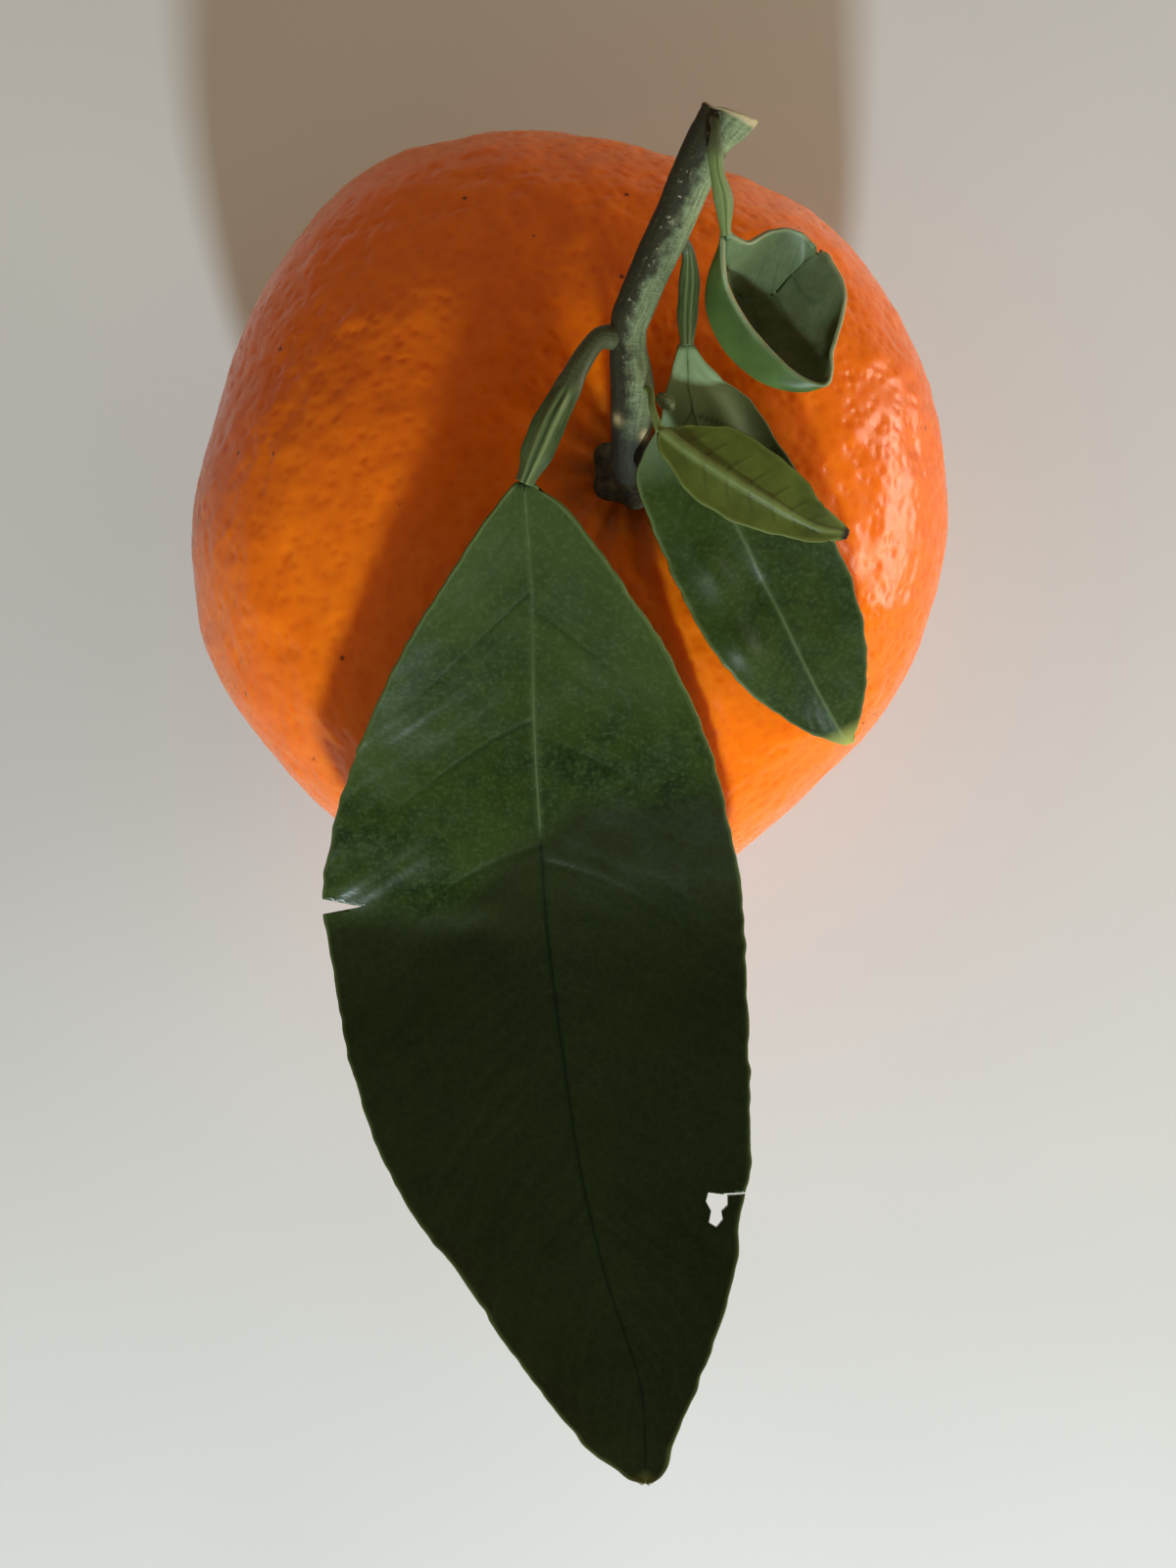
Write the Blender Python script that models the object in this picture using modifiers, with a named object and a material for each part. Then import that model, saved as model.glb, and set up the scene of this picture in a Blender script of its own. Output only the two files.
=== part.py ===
"""A mandarin with its twig and four leaves, standing on the flattened base of the fruit.

Sizes are in millimetres until the points are handed to Blender, which keeps them in metres.
+Z is up, the stem end of the fruit is on top, and the largest leaf hangs out over -Y.
"""

import bmesh
import bpy
import numpy as np

MM = 0.001
SHARP_ANGLE = np.radians(40.0)
CURVE_STEPS = 40  # fine steps along a smooth curve for each point that it passes through

# ---- Driving sizes of the fruit, in mm ----
FRUIT_HALF_X = 35.7
FRUIT_HALF_Y = 37.2
FRUIT_HALF_HEIGHT = 27.6
FRUIT_BASE_SINK = 0.8  # how far the weight of the fruit flattens its base
FRUIT_FULLNESS = 0.9  # below 1 the flanks are fuller than an ellipse
FRUIT_CROWN = 0.95  # below 1 the top and the base are flatter than an ellipse
FRUIT_LEAN = (5.9, -0.6)  # how far the stem end sits from the middle of the fruit
FRUIT_LEAN_RISE = 1.5  # above 1 most of the lean comes near the top
FRUIT_LOBES = (  # lobes round the fruit: how many, how deep (a share of the radius), facing (degrees)
    (3, 0.023, 17.0),
    (4, 0.016, 18.0),
    (5, 0.020, 50.0),
)
STEM_DIMPLE_DEPTH = 2.4
STEM_DIMPLE_RADIUS = 8.0
FRUIT_GRID = (48, 24)  # points round the fruit, points down it

# ---- Driving sizes of the twig and calyx ----
JOIN_GAP = 0.3  # daylight kept between pieces that meet
CALYX_RADIUS = 3.3
CALYX_THICK = 1.1
CALYX_LOBES = 5
CALYX_LOBE_DEPTH = 0.14  # a share of the radius
CALYX_DISH = 0.5  # how far its rim curves up round the dimple
CALYX_FOOT = 2 * FRUIT_HALF_HEIGHT - FRUIT_BASE_SINK - STEM_DIMPLE_DEPTH + JOIN_GAP
CALYX_GRID = (30, 8)
TWIG_STATIONS = 28
TWIG_PATH = (  # x, y, z, radius
    (5.9, -0.9, 54.1, 1.10),
    (5.9, -0.7, 55.1, 1.20),
    (5.9, 0.3, 56.5, 1.35),
    (6.1, 3.8, 58.3, 1.65),
    (5.7, 7.4, 60.0, 1.35),
    (6.3, 9.5, 61.0, 1.42),
    (8.3, 13.5, 63.2, 1.45),
    (10.8, 18.3, 66.0, 1.50),
    (12.2, 20.2, 66.9, 1.75),
)
BUD_PATH = (  # x, y, z, half width, half thickness
    (8.0, 3.3, 59.5, 0.35, 0.35),
    (8.4, 2.9, 59.9, 0.55, 0.50),
    (8.8, 2.4, 60.1, 0.40, 0.40),
    (9.0, 2.2, 60.15, 0.12, 0.12),
)

# ---- Driving sizes of the leaves ----
STALK_CORNERS = 10
STALK_STATIONS = 3  # rings for each point of its path
BLADE_THICK = 0.45
MIDRIB_THICK = 1.0
TEAR_HEIGHTS = (44.0, 58.0)  # where the upright cutters for the tears start and end

BIG_LEAF = {
    "colour": "leaf_green",
    "grid": (36, 5),  # points along the blade, steps from its midrib to an edge
    "bow": 0.05,  # how far each half bulges up, a share of its width
    "stalk": (
        (3.5, 7.0, 60.9, 0.75, 0.70),
        (2.3, 5.3, 61.2, 0.80, 0.70),
        (1.2, 3.1, 61.4, 1.00, 0.60),
        (0.1, 1.0, 61.4, 1.20, 0.55),
        (-0.8, -1.0, 61.0, 1.20, 0.55),
        (-1.6, -2.7, 60.3, 0.75, 0.55),
    ),
    "midrib": (
        (-1.8, -3.3, 60.0),
        (-1.4, -11.1, 56.6),
        (-1.4, -20.7, 52.7),
        (-0.9, -31.2, 49.3),
        (-0.5, -37.1, 48.3),
        (0.8, -47.1, 48.9),
        (2.3, -56.4, 50.1),
        (4.4, -64.6, 51.3),
        (6.9, -72.0, 52.6),
        (7.3, -79.0, 53.8),
    ),
    "left": (
        (-2.6, -3.3, 60.1),
        (-5.3, -6.5, 59.3),
        (-11.4, -15.1, 56.0),
        (-15.6, -23.2, 52.8),
        (-17.8, -29.6, 50.9),
        (-18.7, -34.8, 49.2),
        (-17.8, -40.8, 48.7),
        (-16.0, -48.7, 50.1),
        (-12.2, -57.3, 51.4),
        (-7.0, -63.8, 52.4),
        (-2.4, -70.1, 53.3),
        (2.3, -75.7, 54.1),
        (7.0, -79.0, 53.9),
    ),
    "right": (
        (-1.0, -3.3, 60.1),
        (2.2, -6.1, 59.6),
        (8.8, -15.1, 56.0),
        (12.6, -23.2, 52.8),
        (14.6, -30.6, 50.2),
        (15.5, -36.8, 48.9),
        (15.8, -48.7, 50.1),
        (15.6, -56.1, 51.1),
        (14.6, -63.1, 52.2),
        (11.9, -70.4, 53.2),
        (9.0, -76.0, 53.8),
        (7.7, -78.9, 53.9),
    ),
    "tears": {  # outlines seen from above
        "edge_tear": ((-15.6, -34.9), (-20.6, -33.7), (-20.6, -35.8)),
        "rim_slit": ((12.3, -56.9), (17.0, -56.6), (17.0, -57.0), (12.2, -57.4)),
        "rim_hole": (
            (13.2, -57.1),
            (13.1, -58.2),
            (12.4, -59.7),
            (12.1, -59.6),
            (12.5, -58.1),
            (12.4, -57.1),
        ),
    },
}

SIDE_LEAF = {
    "colour": "leaf_green",
    "grid": (24, 4),
    "bow": 0.03,
    "stalk": (
        (9.9, 13.0, 61.6, 0.45, 0.40),
        (10.1, 11.4, 60.7, 0.75, 0.45),
        (10.0, 9.2, 60.0, 0.75, 0.45),
        (10.0, 7.5, 59.6, 0.55, 0.45),
    ),
    "midrib": (
        (10.0, 7.0, 59.4),
        (10.3, 3.9, 58.8),
        (11.5, -0.2, 57.8),
        (13.3, -4.2, 56.6),
        (16.1, -8.8, 54.5),
        (20.1, -15.8, 51.4),
        (22.8, -19.8, 48.8),
        (24.4, -21.5, 46.8),
    ),
    "left": (
        (9.4, 6.9, 59.5),
        (8.5, 4.0, 58.8),
        (8.1, 1.8, 58.4),
        (6.7, -0.8, 58.4),
        (6.4, -2.8, 58.1),
        (8.3, -7.0, 56.4),
        (9.8, -10.1, 55.2),
        (13.1, -15.4, 53.2),
        (18.8, -19.8, 49.6),
        (24.1, -21.7, 46.8),
    ),
    "right": (
        (10.6, 6.9, 59.5),
        (12.4, 5.0, 58.8),
        (15.0, 3.4, 57.7),
        (19.5, -2.7, 56.0),
        (23.4, -9.2, 53.2),
        (25.1, -15.3, 50.5),
        (25.1, -18.7, 48.4),
        (24.7, -21.4, 46.8),
    ),
}

SMALL_LEAF = {
    "colour": "young_leaf",
    "grid": (16, 3),
    "bow": -0.04,
    "stalk": (
        (7.3, 3.5, 60.2, 0.25, 0.25),
        (7.4, 2.2, 60.8, 0.25, 0.25),
        (7.8, 0.8, 61.0, 0.30, 0.30),
    ),
    "midrib": (
        (8.1, 0.4, 61.0),
        (10.3, -1.4, 61.6),
        (14.4, -3.9, 61.2),
        (19.0, -6.0, 59.8),
        (21.9, -6.5, 58.6),
    ),
    "left": (
        (8.5, 0.6, 61.0),
        (10.1, 0.8, 61.6),
        (12.9, 0.5, 62.0),
        (14.9, -0.7, 62.0),
        (17.8, -2.8, 61.4),
        (19.8, -4.7, 60.4),
        (22.0, -6.2, 58.6),
    ),
    "right": (
        (7.8, 0.0, 61.0),
        (7.9, -1.1, 61.1),
        (8.6, -2.1, 61.4),
        (10.3, -4.5, 61.4),
        (14.1, -6.4, 60.8),
        (19.2, -7.3, 59.6),
        (21.8, -6.8, 58.6),
    ),
}

CURLED_LEAF = {
    "colour": "leaf_green",
    "grid": (28, 6),
    "bow": -0.06,
    "stalk": (
        (11.2, 18.4, 68.4, 0.30, 0.25),
        (11.2, 17.0, 68.3, 0.50, 0.35),
        (11.4, 15.6, 67.7, 0.50, 0.35),
        (11.9, 14.2, 66.9, 0.65, 0.35),
        (12.1, 12.8, 66.0, 0.40, 0.35),
    ),
    "midrib": (
        (12.2, 12.3, 65.5),
        (12.6, 11.4, 62.6),
        (13.4, 10.7, 60.3),
        (14.7, 10.2, 59.3),
        (16.1, 10.7, 59.0),
        (17.3, 11.9, 59.2),
        (18.3, 12.8, 59.9),
        (19.2, 13.2, 60.9),
    ),
    "left": (  # the free edge on the far side of the cup
        (12.6, 12.4, 65.6),
        (14.1, 12.9, 63.5),
        (15.9, 14.5, 62.0),
        (18.1, 14.4, 61.5),
        (19.1, 13.5, 61.1),
    ),
    "right": (  # the edge that rolls up and in round the near side of the cup
        (11.9, 12.2, 65.7),
        (12.2, 10.4, 65.2),
        (12.6, 9.1, 64.5),
        (14.5, 6.5, 63.5),
        (17.6, 4.1, 62.5),
        (19.9, 3.8, 61.6),
        (20.3, 6.5, 61.3),
        (21.1, 10.1, 61.8),
        (20.1, 12.8, 61.4),
        (19.5, 13.3, 61.0),
    ),
    "right_belly": (  # how far the rolled half swells outside its own edge
        (12.0, 12.3, 64.9),
        (11.4, 10.8, 62.8),
        (11.4, 8.9, 61.2),
        (12.7, 6.3, 60.2),
        (15.2, 4.5, 59.8),
        (18.3, 4.9, 59.6),
        (19.4, 8.1, 59.8),
        (19.5, 11.0, 60.4),
        (19.4, 13.2, 60.9),
    ),
}

LEAVES = {
    "big_leaf": BIG_LEAF,
    "side_leaf": SIDE_LEAF,
    "small_leaf": SMALL_LEAF,
    "curled_leaf": CURLED_LEAF,
}

COLOURS = {  # colour (linear), roughness
    "peel": ((0.78, 0.19, 0.02), 0.35),
    "calyx": ((0.07, 0.07, 0.03), 0.75),
    "bark": ((0.12, 0.14, 0.08), 0.75),
    "stalk_green": ((0.10, 0.17, 0.05), 0.50),
    "leaf_green": ((0.03, 0.07, 0.02), 0.35),
    "young_leaf": ((0.14, 0.16, 0.03), 0.50),
}


def new_collection(name):
    """A collection in the scene for the objects made next."""
    collection = bpy.data.collections.new(name)
    bpy.context.scene.collection.children.link(collection)
    return collection


def clear_scene():
    """Takes every object out of the scene that Blender starts with."""
    for thing in list(bpy.data.objects):
        bpy.data.objects.remove(thing, do_unlink=True)


def make_materials():
    """One plain material for each surface of the plant."""
    made = {}
    for name, (colour, roughness) in COLOURS.items():
        material = bpy.data.materials.new(name)
        material.use_nodes = True
        shader = material.node_tree.nodes["Principled BSDF"]
        shader.inputs["Base Color"].default_value = (*colour, 1.0)
        shader.inputs["Roughness"].default_value = roughness
        shader.inputs["Metallic"].default_value = 0.0
        made[name] = material
    return made


def add_object(name, data, material, collection):
    """Puts mesh or curve data into the scene as a named piece."""
    thing = bpy.data.objects.new(name, data)
    if material is not None:
        data.materials.append(material)
    collection.objects.link(thing)
    return thing


def add_shape(name, shape, material, collection):
    """Turns a worked shape into a named, smoothly shaded piece."""
    mesh = bpy.data.meshes.new(name)
    shape.to_mesh(mesh)
    shape.free()
    mesh.shade_smooth()
    mesh.set_sharp_from_angle(angle=SHARP_ANGLE)
    return add_object(name, mesh, material, collection)


def along(points, samples):
    """Evenly spaced stations along a smooth curve through x, y, z and any further columns."""
    fixed = np.array(points, dtype=float)
    fixed = np.vstack([2 * fixed[0] - fixed[1], fixed, 2 * fixed[-1] - fixed[-2]])
    place = np.linspace(0, len(points) - 1.000001, CURVE_STEPS * len(points))
    span = place.astype(int)
    part = (place - span)[:, None]
    a, b, c, d = (fixed[span + step] for step in range(4))
    cubic = part * (3 * b - a - 3 * c + d)
    curve = b + 0.5 * part * (c - a + part * (2 * a - 5 * b + 4 * c - d + cubic))
    steps = np.linalg.norm(np.diff(curve[:, :3], axis=0), axis=1)
    length = np.concatenate([[0.0], np.cumsum(steps)])
    wanted = np.linspace(0.0, length[-1], samples)
    columns = [np.interp(wanted, length, column) for column in curve.T]
    return np.stack(columns, axis=1)


def unit(vectors):
    """The same vectors with a length of 1."""
    return vectors / np.linalg.norm(vectors, axis=-1, keepdims=True)


# ---- Fruit and calyx ----


def fruit_point(around, down):
    """The point of the peel at a turn round the fruit and an angle down from its top."""
    ring = np.sin(down)
    rise = np.cos(down)
    lobes = sum(
        depth * np.cos(count * (around - np.radians(facing)))
        for count, depth, facing in FRUIT_LOBES
    )
    spread = ring**FRUIT_FULLNESS * (1.0 + lobes * ring**2)
    x = FRUIT_HALF_X * spread * np.cos(around)
    y = FRUIT_HALF_Y * spread * np.sin(around)
    middle = FRUIT_HALF_HEIGHT - FRUIT_BASE_SINK
    z = middle + FRUIT_HALF_HEIGHT * np.sign(rise) * np.abs(rise) ** FRUIT_CROWN
    dimple = STEM_DIMPLE_DEPTH * np.exp(-(x**2 + y**2) / STEM_DIMPLE_RADIUS**2)
    lean = np.clip((z - middle) / FRUIT_HALF_HEIGHT, 0.0, 1.0) ** FRUIT_LEAN_RISE
    x += FRUIT_LEAN[0] * lean
    y += FRUIT_LEAN[1] * lean
    if rise > 0.0:
        z -= dimple
    return x, y, max(z, 0.0)


def calyx_point(around, down):
    """The point of a flat five-lobed button, a little dished below, over the stem dimple."""
    radius = CALYX_RADIUS * np.sin(down) * (1.0 + CALYX_LOBE_DEPTH * np.cos(CALYX_LOBES * around))
    x = FRUIT_LEAN[0] + radius * np.cos(around)
    y = FRUIT_LEAN[1] + radius * np.sin(around)
    dish = CALYX_DISH * (radius / CALYX_RADIUS) ** 2
    z = CALYX_FOOT + dish + CALYX_THICK * (0.5 + 0.5 * np.cos(down))
    return x, y, z


def make_moved_ball(name, place, around, down, material, collection):
    """A ball whose points are moved onto another round shape, with one face where it stands on the ground."""
    shape = bmesh.new()
    bmesh.ops.create_uvsphere(shape, u_segments=around, v_segments=down, radius=1.0)
    for vertex in shape.verts:
        x, y, z = vertex.co
        turn = np.arctan2(y, x)
        vertex.co = np.array(place(turn, np.arccos(np.clip(z, -1.0, 1.0)))) * MM
    grounded = [face for face in shape.faces if all(vertex.co.z == 0.0 for vertex in face.verts)]
    bmesh.ops.dissolve_faces(shape, faces=grounded)
    return add_shape(name, shape, material, collection)


# ---- Twig, bud and leaf stalks ----


def make_twig(material, collection):
    """The woody twig: a round bar that swells at its node and flares at its cut end."""
    curve = bpy.data.curves.new("twig", "CURVE")
    curve.dimensions = "3D"
    curve.bevel_depth = MM
    curve.bevel_resolution = 2
    curve.use_fill_caps = True
    stations = along(TWIG_PATH, TWIG_STATIONS)
    line = curve.splines.new("POLY")
    line.points.add(TWIG_STATIONS - 1)
    for point, (x, y, z, radius) in zip(line.points, stations):
        point.co = (x * MM, y * MM, z * MM, 1.0)
        point.radius = radius
    return add_object("twig", curve, material, collection)


def oval_rings(path, stations):
    """Oval rings set square to a path of x, y, z, half width and half thickness."""
    line = along(path, stations)
    centre = line[:, :3]
    forward = unit(np.gradient(centre, axis=0))
    across = unit(np.cross(forward, (0.0, 0.0, 1.0)))
    upward = np.cross(across, forward)
    turn = np.linspace(0.0, 2 * np.pi, STALK_CORNERS, endpoint=False)[:, None]
    wide = across[:, None] * line[:, None, 3:4] * np.cos(turn)
    thick = upward[:, None] * line[:, None, 4:5] * np.sin(turn)
    return centre[:, None] + wide + thick


def make_stalk(name, path, material, collection):
    """A leaf stalk, or the bud: a loft over ovals that change along their path."""
    shape = bmesh.new()
    last = None
    for ring in oval_rings(path, STALK_STATIONS * len(path)):
        corners = [shape.verts.new(point) for point in ring * MM]
        if last is None:
            shape.faces.new(corners)
        else:
            for n in range(STALK_CORNERS):
                shape.faces.new((last[n - 1], last[n], corners[n], corners[n - 1]))
        last = corners
    shape.faces.new(last)
    bmesh.ops.recalc_face_normals(shape, faces=shape.faces)
    return add_shape(name, shape, material, collection)


# ---- Leaf blades ----


def blade_points(leaf, rows, columns):
    """A grid of points over a blade, from its left edge over the midrib to its right edge."""
    midrib = along(leaf["midrib"], rows)
    forward = unit(np.gradient(midrib, axis=0))
    share = np.linspace(0.0, 1.0, columns + 1)[None, :, None]
    halves = []
    for side, turned in (("left", 1.0), ("right", -1.0)):
        edge = along(leaf[side], rows)
        across = edge - midrib
        upward = turned * np.cross(forward, across)
        belly = (midrib + edge) / 2 + leaf["bow"] * upward
        if side + "_belly" in leaf:
            belly = along(leaf[side + "_belly"], rows)
        halves.append(
            midrib[:, None] * (1 - share) * (1 - 2 * share)
            + belly[:, None] * 4 * share * (1 - share)
            + edge[:, None] * share * (2 * share - 1)
        )
    return np.concatenate([halves[0][:, :0:-1], halves[1]], axis=1)


def make_blade(name, leaf, material, collection):
    """A leaf blade: a grid laid over the leaf's surface, thicker along its midrib."""
    rows, columns = leaf["grid"]
    points = blade_points(leaf, rows, columns)
    wide = 2 * columns + 1
    shape = bmesh.new()
    bmesh.ops.create_grid(shape, x_segments=wide - 1, y_segments=rows - 1, size=1.0)
    midrib = []
    for n, vertex in enumerate(shape.verts):
        column = round((vertex.co.x + 1.0) / 2 * (wide - 1))
        row = round((vertex.co.y + 1.0) / 2 * (rows - 1))
        vertex.co = points[row, column] * MM
        if column == columns:
            midrib.append(n)
    blade = add_shape(name, shape, material, collection)
    blade.vertex_groups.new(name="midrib").add(midrib, 1.0, "REPLACE")
    thickness = blade.modifiers.new("thickness", "SOLIDIFY")
    thickness.thickness = MIDRIB_THICK * MM
    thickness.vertex_group = "midrib"
    thickness.thickness_vertex_group = BLADE_THICK / MIDRIB_THICK
    thickness.offset = 0.0
    return blade


def cut_out(blade, name, outline, collection):
    """Takes an upright prism out of a blade where a piece is torn away."""
    shape = bmesh.new()
    low, high = TEAR_HEIGHTS
    floor = shape.faces.new([shape.verts.new((x * MM, y * MM, low * MM)) for x, y in outline])
    raised = bmesh.ops.extrude_face_region(shape, geom=[floor])
    moved = [item for item in raised["geom"] if isinstance(item, bmesh.types.BMVert)]
    bmesh.ops.translate(shape, verts=moved, vec=(0.0, 0.0, (high - low) * MM))
    bmesh.ops.recalc_face_normals(shape, faces=shape.faces)
    cutter = add_shape(name, shape, None, collection)
    cutter.hide_render = True
    cutter.display_type = "WIRE"
    cut = blade.modifiers.new(name, "BOOLEAN")
    cut.operation = "DIFFERENCE"
    cut.solver = "EXACT"
    cut.object = cutter


def main():
    clear_scene()
    materials = make_materials()
    parts = new_collection("mandarin_with_leaves")
    cutters = new_collection("cutters")

    make_moved_ball("mandarin_fruit", fruit_point, *FRUIT_GRID, materials["peel"], parts)
    make_moved_ball("calyx", calyx_point, *CALYX_GRID, materials["calyx"], parts)
    make_twig(materials["bark"], parts)
    make_stalk("axillary_bud", BUD_PATH, materials["bark"], parts)
    for name, leaf in LEAVES.items():
        make_stalk(name + "_stalk", leaf["stalk"], materials["stalk_green"], parts)
        blade = make_blade(name + "_blade", leaf, materials[leaf["colour"]], parts)
        for tear, outline in leaf.get("tears", {}).items():
            cut_out(blade, tear, outline, cutters)


main()
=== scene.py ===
"""How the mandarin looks: pitted waxy peel, furrowed bark and veined leaves, on a pale floor in soft light.

Each fine piece stands for one CAD node and follows its shape. Parts of the small, the curled and the largest
leaf leave it by up to 2 mm. Sizes are in millimetres until the points are handed to Blender. The largest leaf
hangs out over -Y, and the light comes low from there.
"""

import bmesh
import bpy
import numpy as np
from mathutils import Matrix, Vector, kdtree


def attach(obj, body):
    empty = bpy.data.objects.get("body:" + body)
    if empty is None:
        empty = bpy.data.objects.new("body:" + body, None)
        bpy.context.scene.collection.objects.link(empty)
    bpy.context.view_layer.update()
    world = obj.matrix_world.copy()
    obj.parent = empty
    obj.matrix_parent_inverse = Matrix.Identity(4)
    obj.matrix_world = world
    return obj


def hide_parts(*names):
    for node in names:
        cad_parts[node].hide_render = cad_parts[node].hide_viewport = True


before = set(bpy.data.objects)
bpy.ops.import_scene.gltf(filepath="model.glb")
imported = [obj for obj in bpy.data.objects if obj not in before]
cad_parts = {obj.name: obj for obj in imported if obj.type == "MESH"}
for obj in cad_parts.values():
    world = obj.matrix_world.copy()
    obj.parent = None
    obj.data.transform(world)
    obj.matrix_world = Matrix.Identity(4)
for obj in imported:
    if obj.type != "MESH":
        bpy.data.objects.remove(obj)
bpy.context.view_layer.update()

MM = 0.001
SEED = 11
JOIN_GAP = 0.3  # between grown-together nodes

# ---- Fruit: the same driving sizes as its CAD node ----
FRUIT_HALF_X = 35.7
FRUIT_HALF_Y = 37.2
FRUIT_HALF_HEIGHT = 27.6
FRUIT_BASE_SINK = 0.8
FRUIT_FULLNESS = 0.9
FRUIT_CROWN = 0.95
FRUIT_LEAN = (5.9, -0.6)
FRUIT_LEAN_RISE = 1.5
FRUIT_LOBES = (  # how many, how deep (a share of the radius), facing (degrees)
    (3, 0.023, 17.0),
    (4, 0.016, 18.0),
    (5, 0.020, 50.0),
)
STEM_DIMPLE_DEPTH = 2.4
STEM_DIMPLE_RADIUS = 8.0
FRUIT_GRID = (860, 440)

PEEL_INSET = 0.12  # keeps the lumps inside the CAD box
PEEL_LUMPS = (  # how wide, how high
    (9.0, 0.26),
    (3.4, 0.15),
    (1.5, 0.085),
)
BASE_FADE = (0.15, 1.2)  # heights over which the lumps set in above the flat base
PORE_COUNT = 11500
PORE_DEPTH = 0.13
PORE_RADIUS = 0.38
PORE_SIZES = (0.7, 1.25)  # shares of the radius
PORE_DEPTHS = (0.25, 1.0)  # shares of the depth
PORE_PATCH = 7.0  # how wide the patches of deeper and shallower pores are
SPREAD_JITTER = 0.35  # as a share of the distance between pores
LEVEL_JITTER = 1.1
SPECK_COUNT = 150
SPECK_RADIUS = 0.22
SPECK_SIZES = (0.5, 1.3)
SPECK_LEVELS = (-0.95, 0.95)  # from the base to the top of a ball of radius 1
SPECK_DEPTH = 0.02
STEM_END = (40.0, 48.0)  # heights over which the marks of the stem end set in
# the darkened stem end is partly its own stain, partly painted shade under the twig and leaves
STEM_STAIN_AND_SHADE_RADIUS = 5.2
PLEAT_COUNT = 11
PLEAT_HEIGHT = 0.16
PLEAT_PLACE = 6.0  # how far from the stem the pleats are highest
PLEAT_REACH = 4.0
PLEAT_BEND = 6.0  # how wide the bends in the pleats are

# ---- Calyx ----
CALYX_RADIUS = 2.8
CALYX_THICK = 1.1
CALYX_LOBES = 5
CALYX_LOBE_DEPTH = 0.10
CALYX_DISH = 0.5
CALYX_FOOT = 2 * FRUIT_HALF_HEIGHT - FRUIT_BASE_SINK - STEM_DIMPLE_DEPTH + JOIN_GAP
CALYX_GRID = (120, 40)
CALYX_TOP = 1.6  # angle from the top, down to which it is wrinkled
CALYX_WRINKLE = (0.55, 0.07)  # how wide, how high
CALYX_EDGE_WEAR = (0.8, 0.004)  # how wide, and how deep as a share

# ---- Twig and bud: x, y, z, radius or half width, half thickness ----
TWIG_PATH = (
    (5.9, -0.9, 54.1, 1.10),
    (5.9, -0.7, 55.1, 1.20),
    (5.9, 0.3, 56.5, 1.35),
    (6.1, 3.8, 58.3, 1.65),
    (5.7, 7.4, 60.0, 1.35),
    (6.3, 9.5, 61.0, 1.42),
    (8.3, 13.5, 63.2, 1.45),
    (10.8, 18.3, 66.0, 1.50),
    (12.2, 20.2, 66.9, 1.75),
)
TWIG_SCARS = (  # place, radius
    ((5.1, 2.0, 58.4), 0.42),
    ((7.0, 0.9, 58.1), 0.40),
)
TWIG_GRID = (230, 72)
TWIG_LENGTH = 26.0
FIBRE_RADIUS = 1.4
FURROW_STRETCH = (1.0, 1.0, 0.16)
FURROW_MEAN = 0.985
TWIG_FURROWS = (  # how wide, how deep as a share of the radius
    (0.42, 0.022),
    (0.20, 0.012),
)
TWIG_LUMPS = (  # how wide, how high
    (1.5, 0.07),
    (0.35, 0.018),
)
TWIG_SWELLINGS = (  # share of the length, reach, facing in radians, how high
    (0.20, 0.035, 0.2, 0.10),
    (0.46, 0.030, np.pi, 0.10),
)
TWIG_FLARE = 0.35
TWIG_FLARE_FROM = 0.90
CUT_SLANT = 0.30
CUT_RINGS = 9  # rings that the slant of the cut pulls along
CUT_ROUGHNESS = (0.8, 0.22)  # how wide, how high
CUT_BACK = 0.10
CUT_STEPS = (0.93, 0.80, 0.60, 0.40, 0.24, 0.16, 0.08)  # rings over the cut face, as shares of its rim
PITH_STEP = 0.2  # the steps smaller than this lie down in the pith
PITH_RINGS = 3
WOOD_HOLLOW = 0.06
PITH_HOLLOW = 0.35
SAW_MARKS = 9
SAW_MARK_DEPTH = 0.03
RIM_RINGS = 3
RIM_SHARE = 0.85
BUD_PATH = (
    (8.0, 3.3, 59.5, 0.35, 0.35),
    (8.4, 2.9, 59.9, 0.55, 0.50),
    (8.8, 2.4, 60.1, 0.40, 0.40),
    (9.0, 2.2, 60.15, 0.12, 0.12),
)
BUD_GRID = (40, 28)
BUD_SCALES = (3, 0.07, 5.0)  # how many, how high as a share, how far they turn in radians

# ---- Leaf stalks; places across a stalk run from -1 at its left edge to 1 at its right ----
STALK_GRID = (150, 56)
STALK_REACH = 0.45
STALK_STRETCH = (1.0, 1.0, 0.15)
CHANNEL_RISE = 0.15  # share of the length over which the channel sets in
CHANNEL_WIDTH = 0.11
CHANNEL_DEPTH = 0.38
GROOVE_WIDTH = 0.09
RIB_PLACE = 0.30
RIB_WIDTH = 0.13
WINGED_WIDTHS = (0.45, 1.1)
KEEL_WIDTH = 0.45
WING_THICK = 0.35
WING_EDGE = (0.6, 0.95)  # places over which the wing's own colour sets in
STALK_RINGS = (13.0, 0.018)  # how close in radians per mm, how high
STALK_RING_BENDS = (0.7, 4.0)  # how wide, how far in radians
STALK_FIBRES = (0.25, 0.04)  # how wide, how high as a share
STALK_EDGE_WEAR = (1.1, 0.05)  # how wide, how deep as a share

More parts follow.
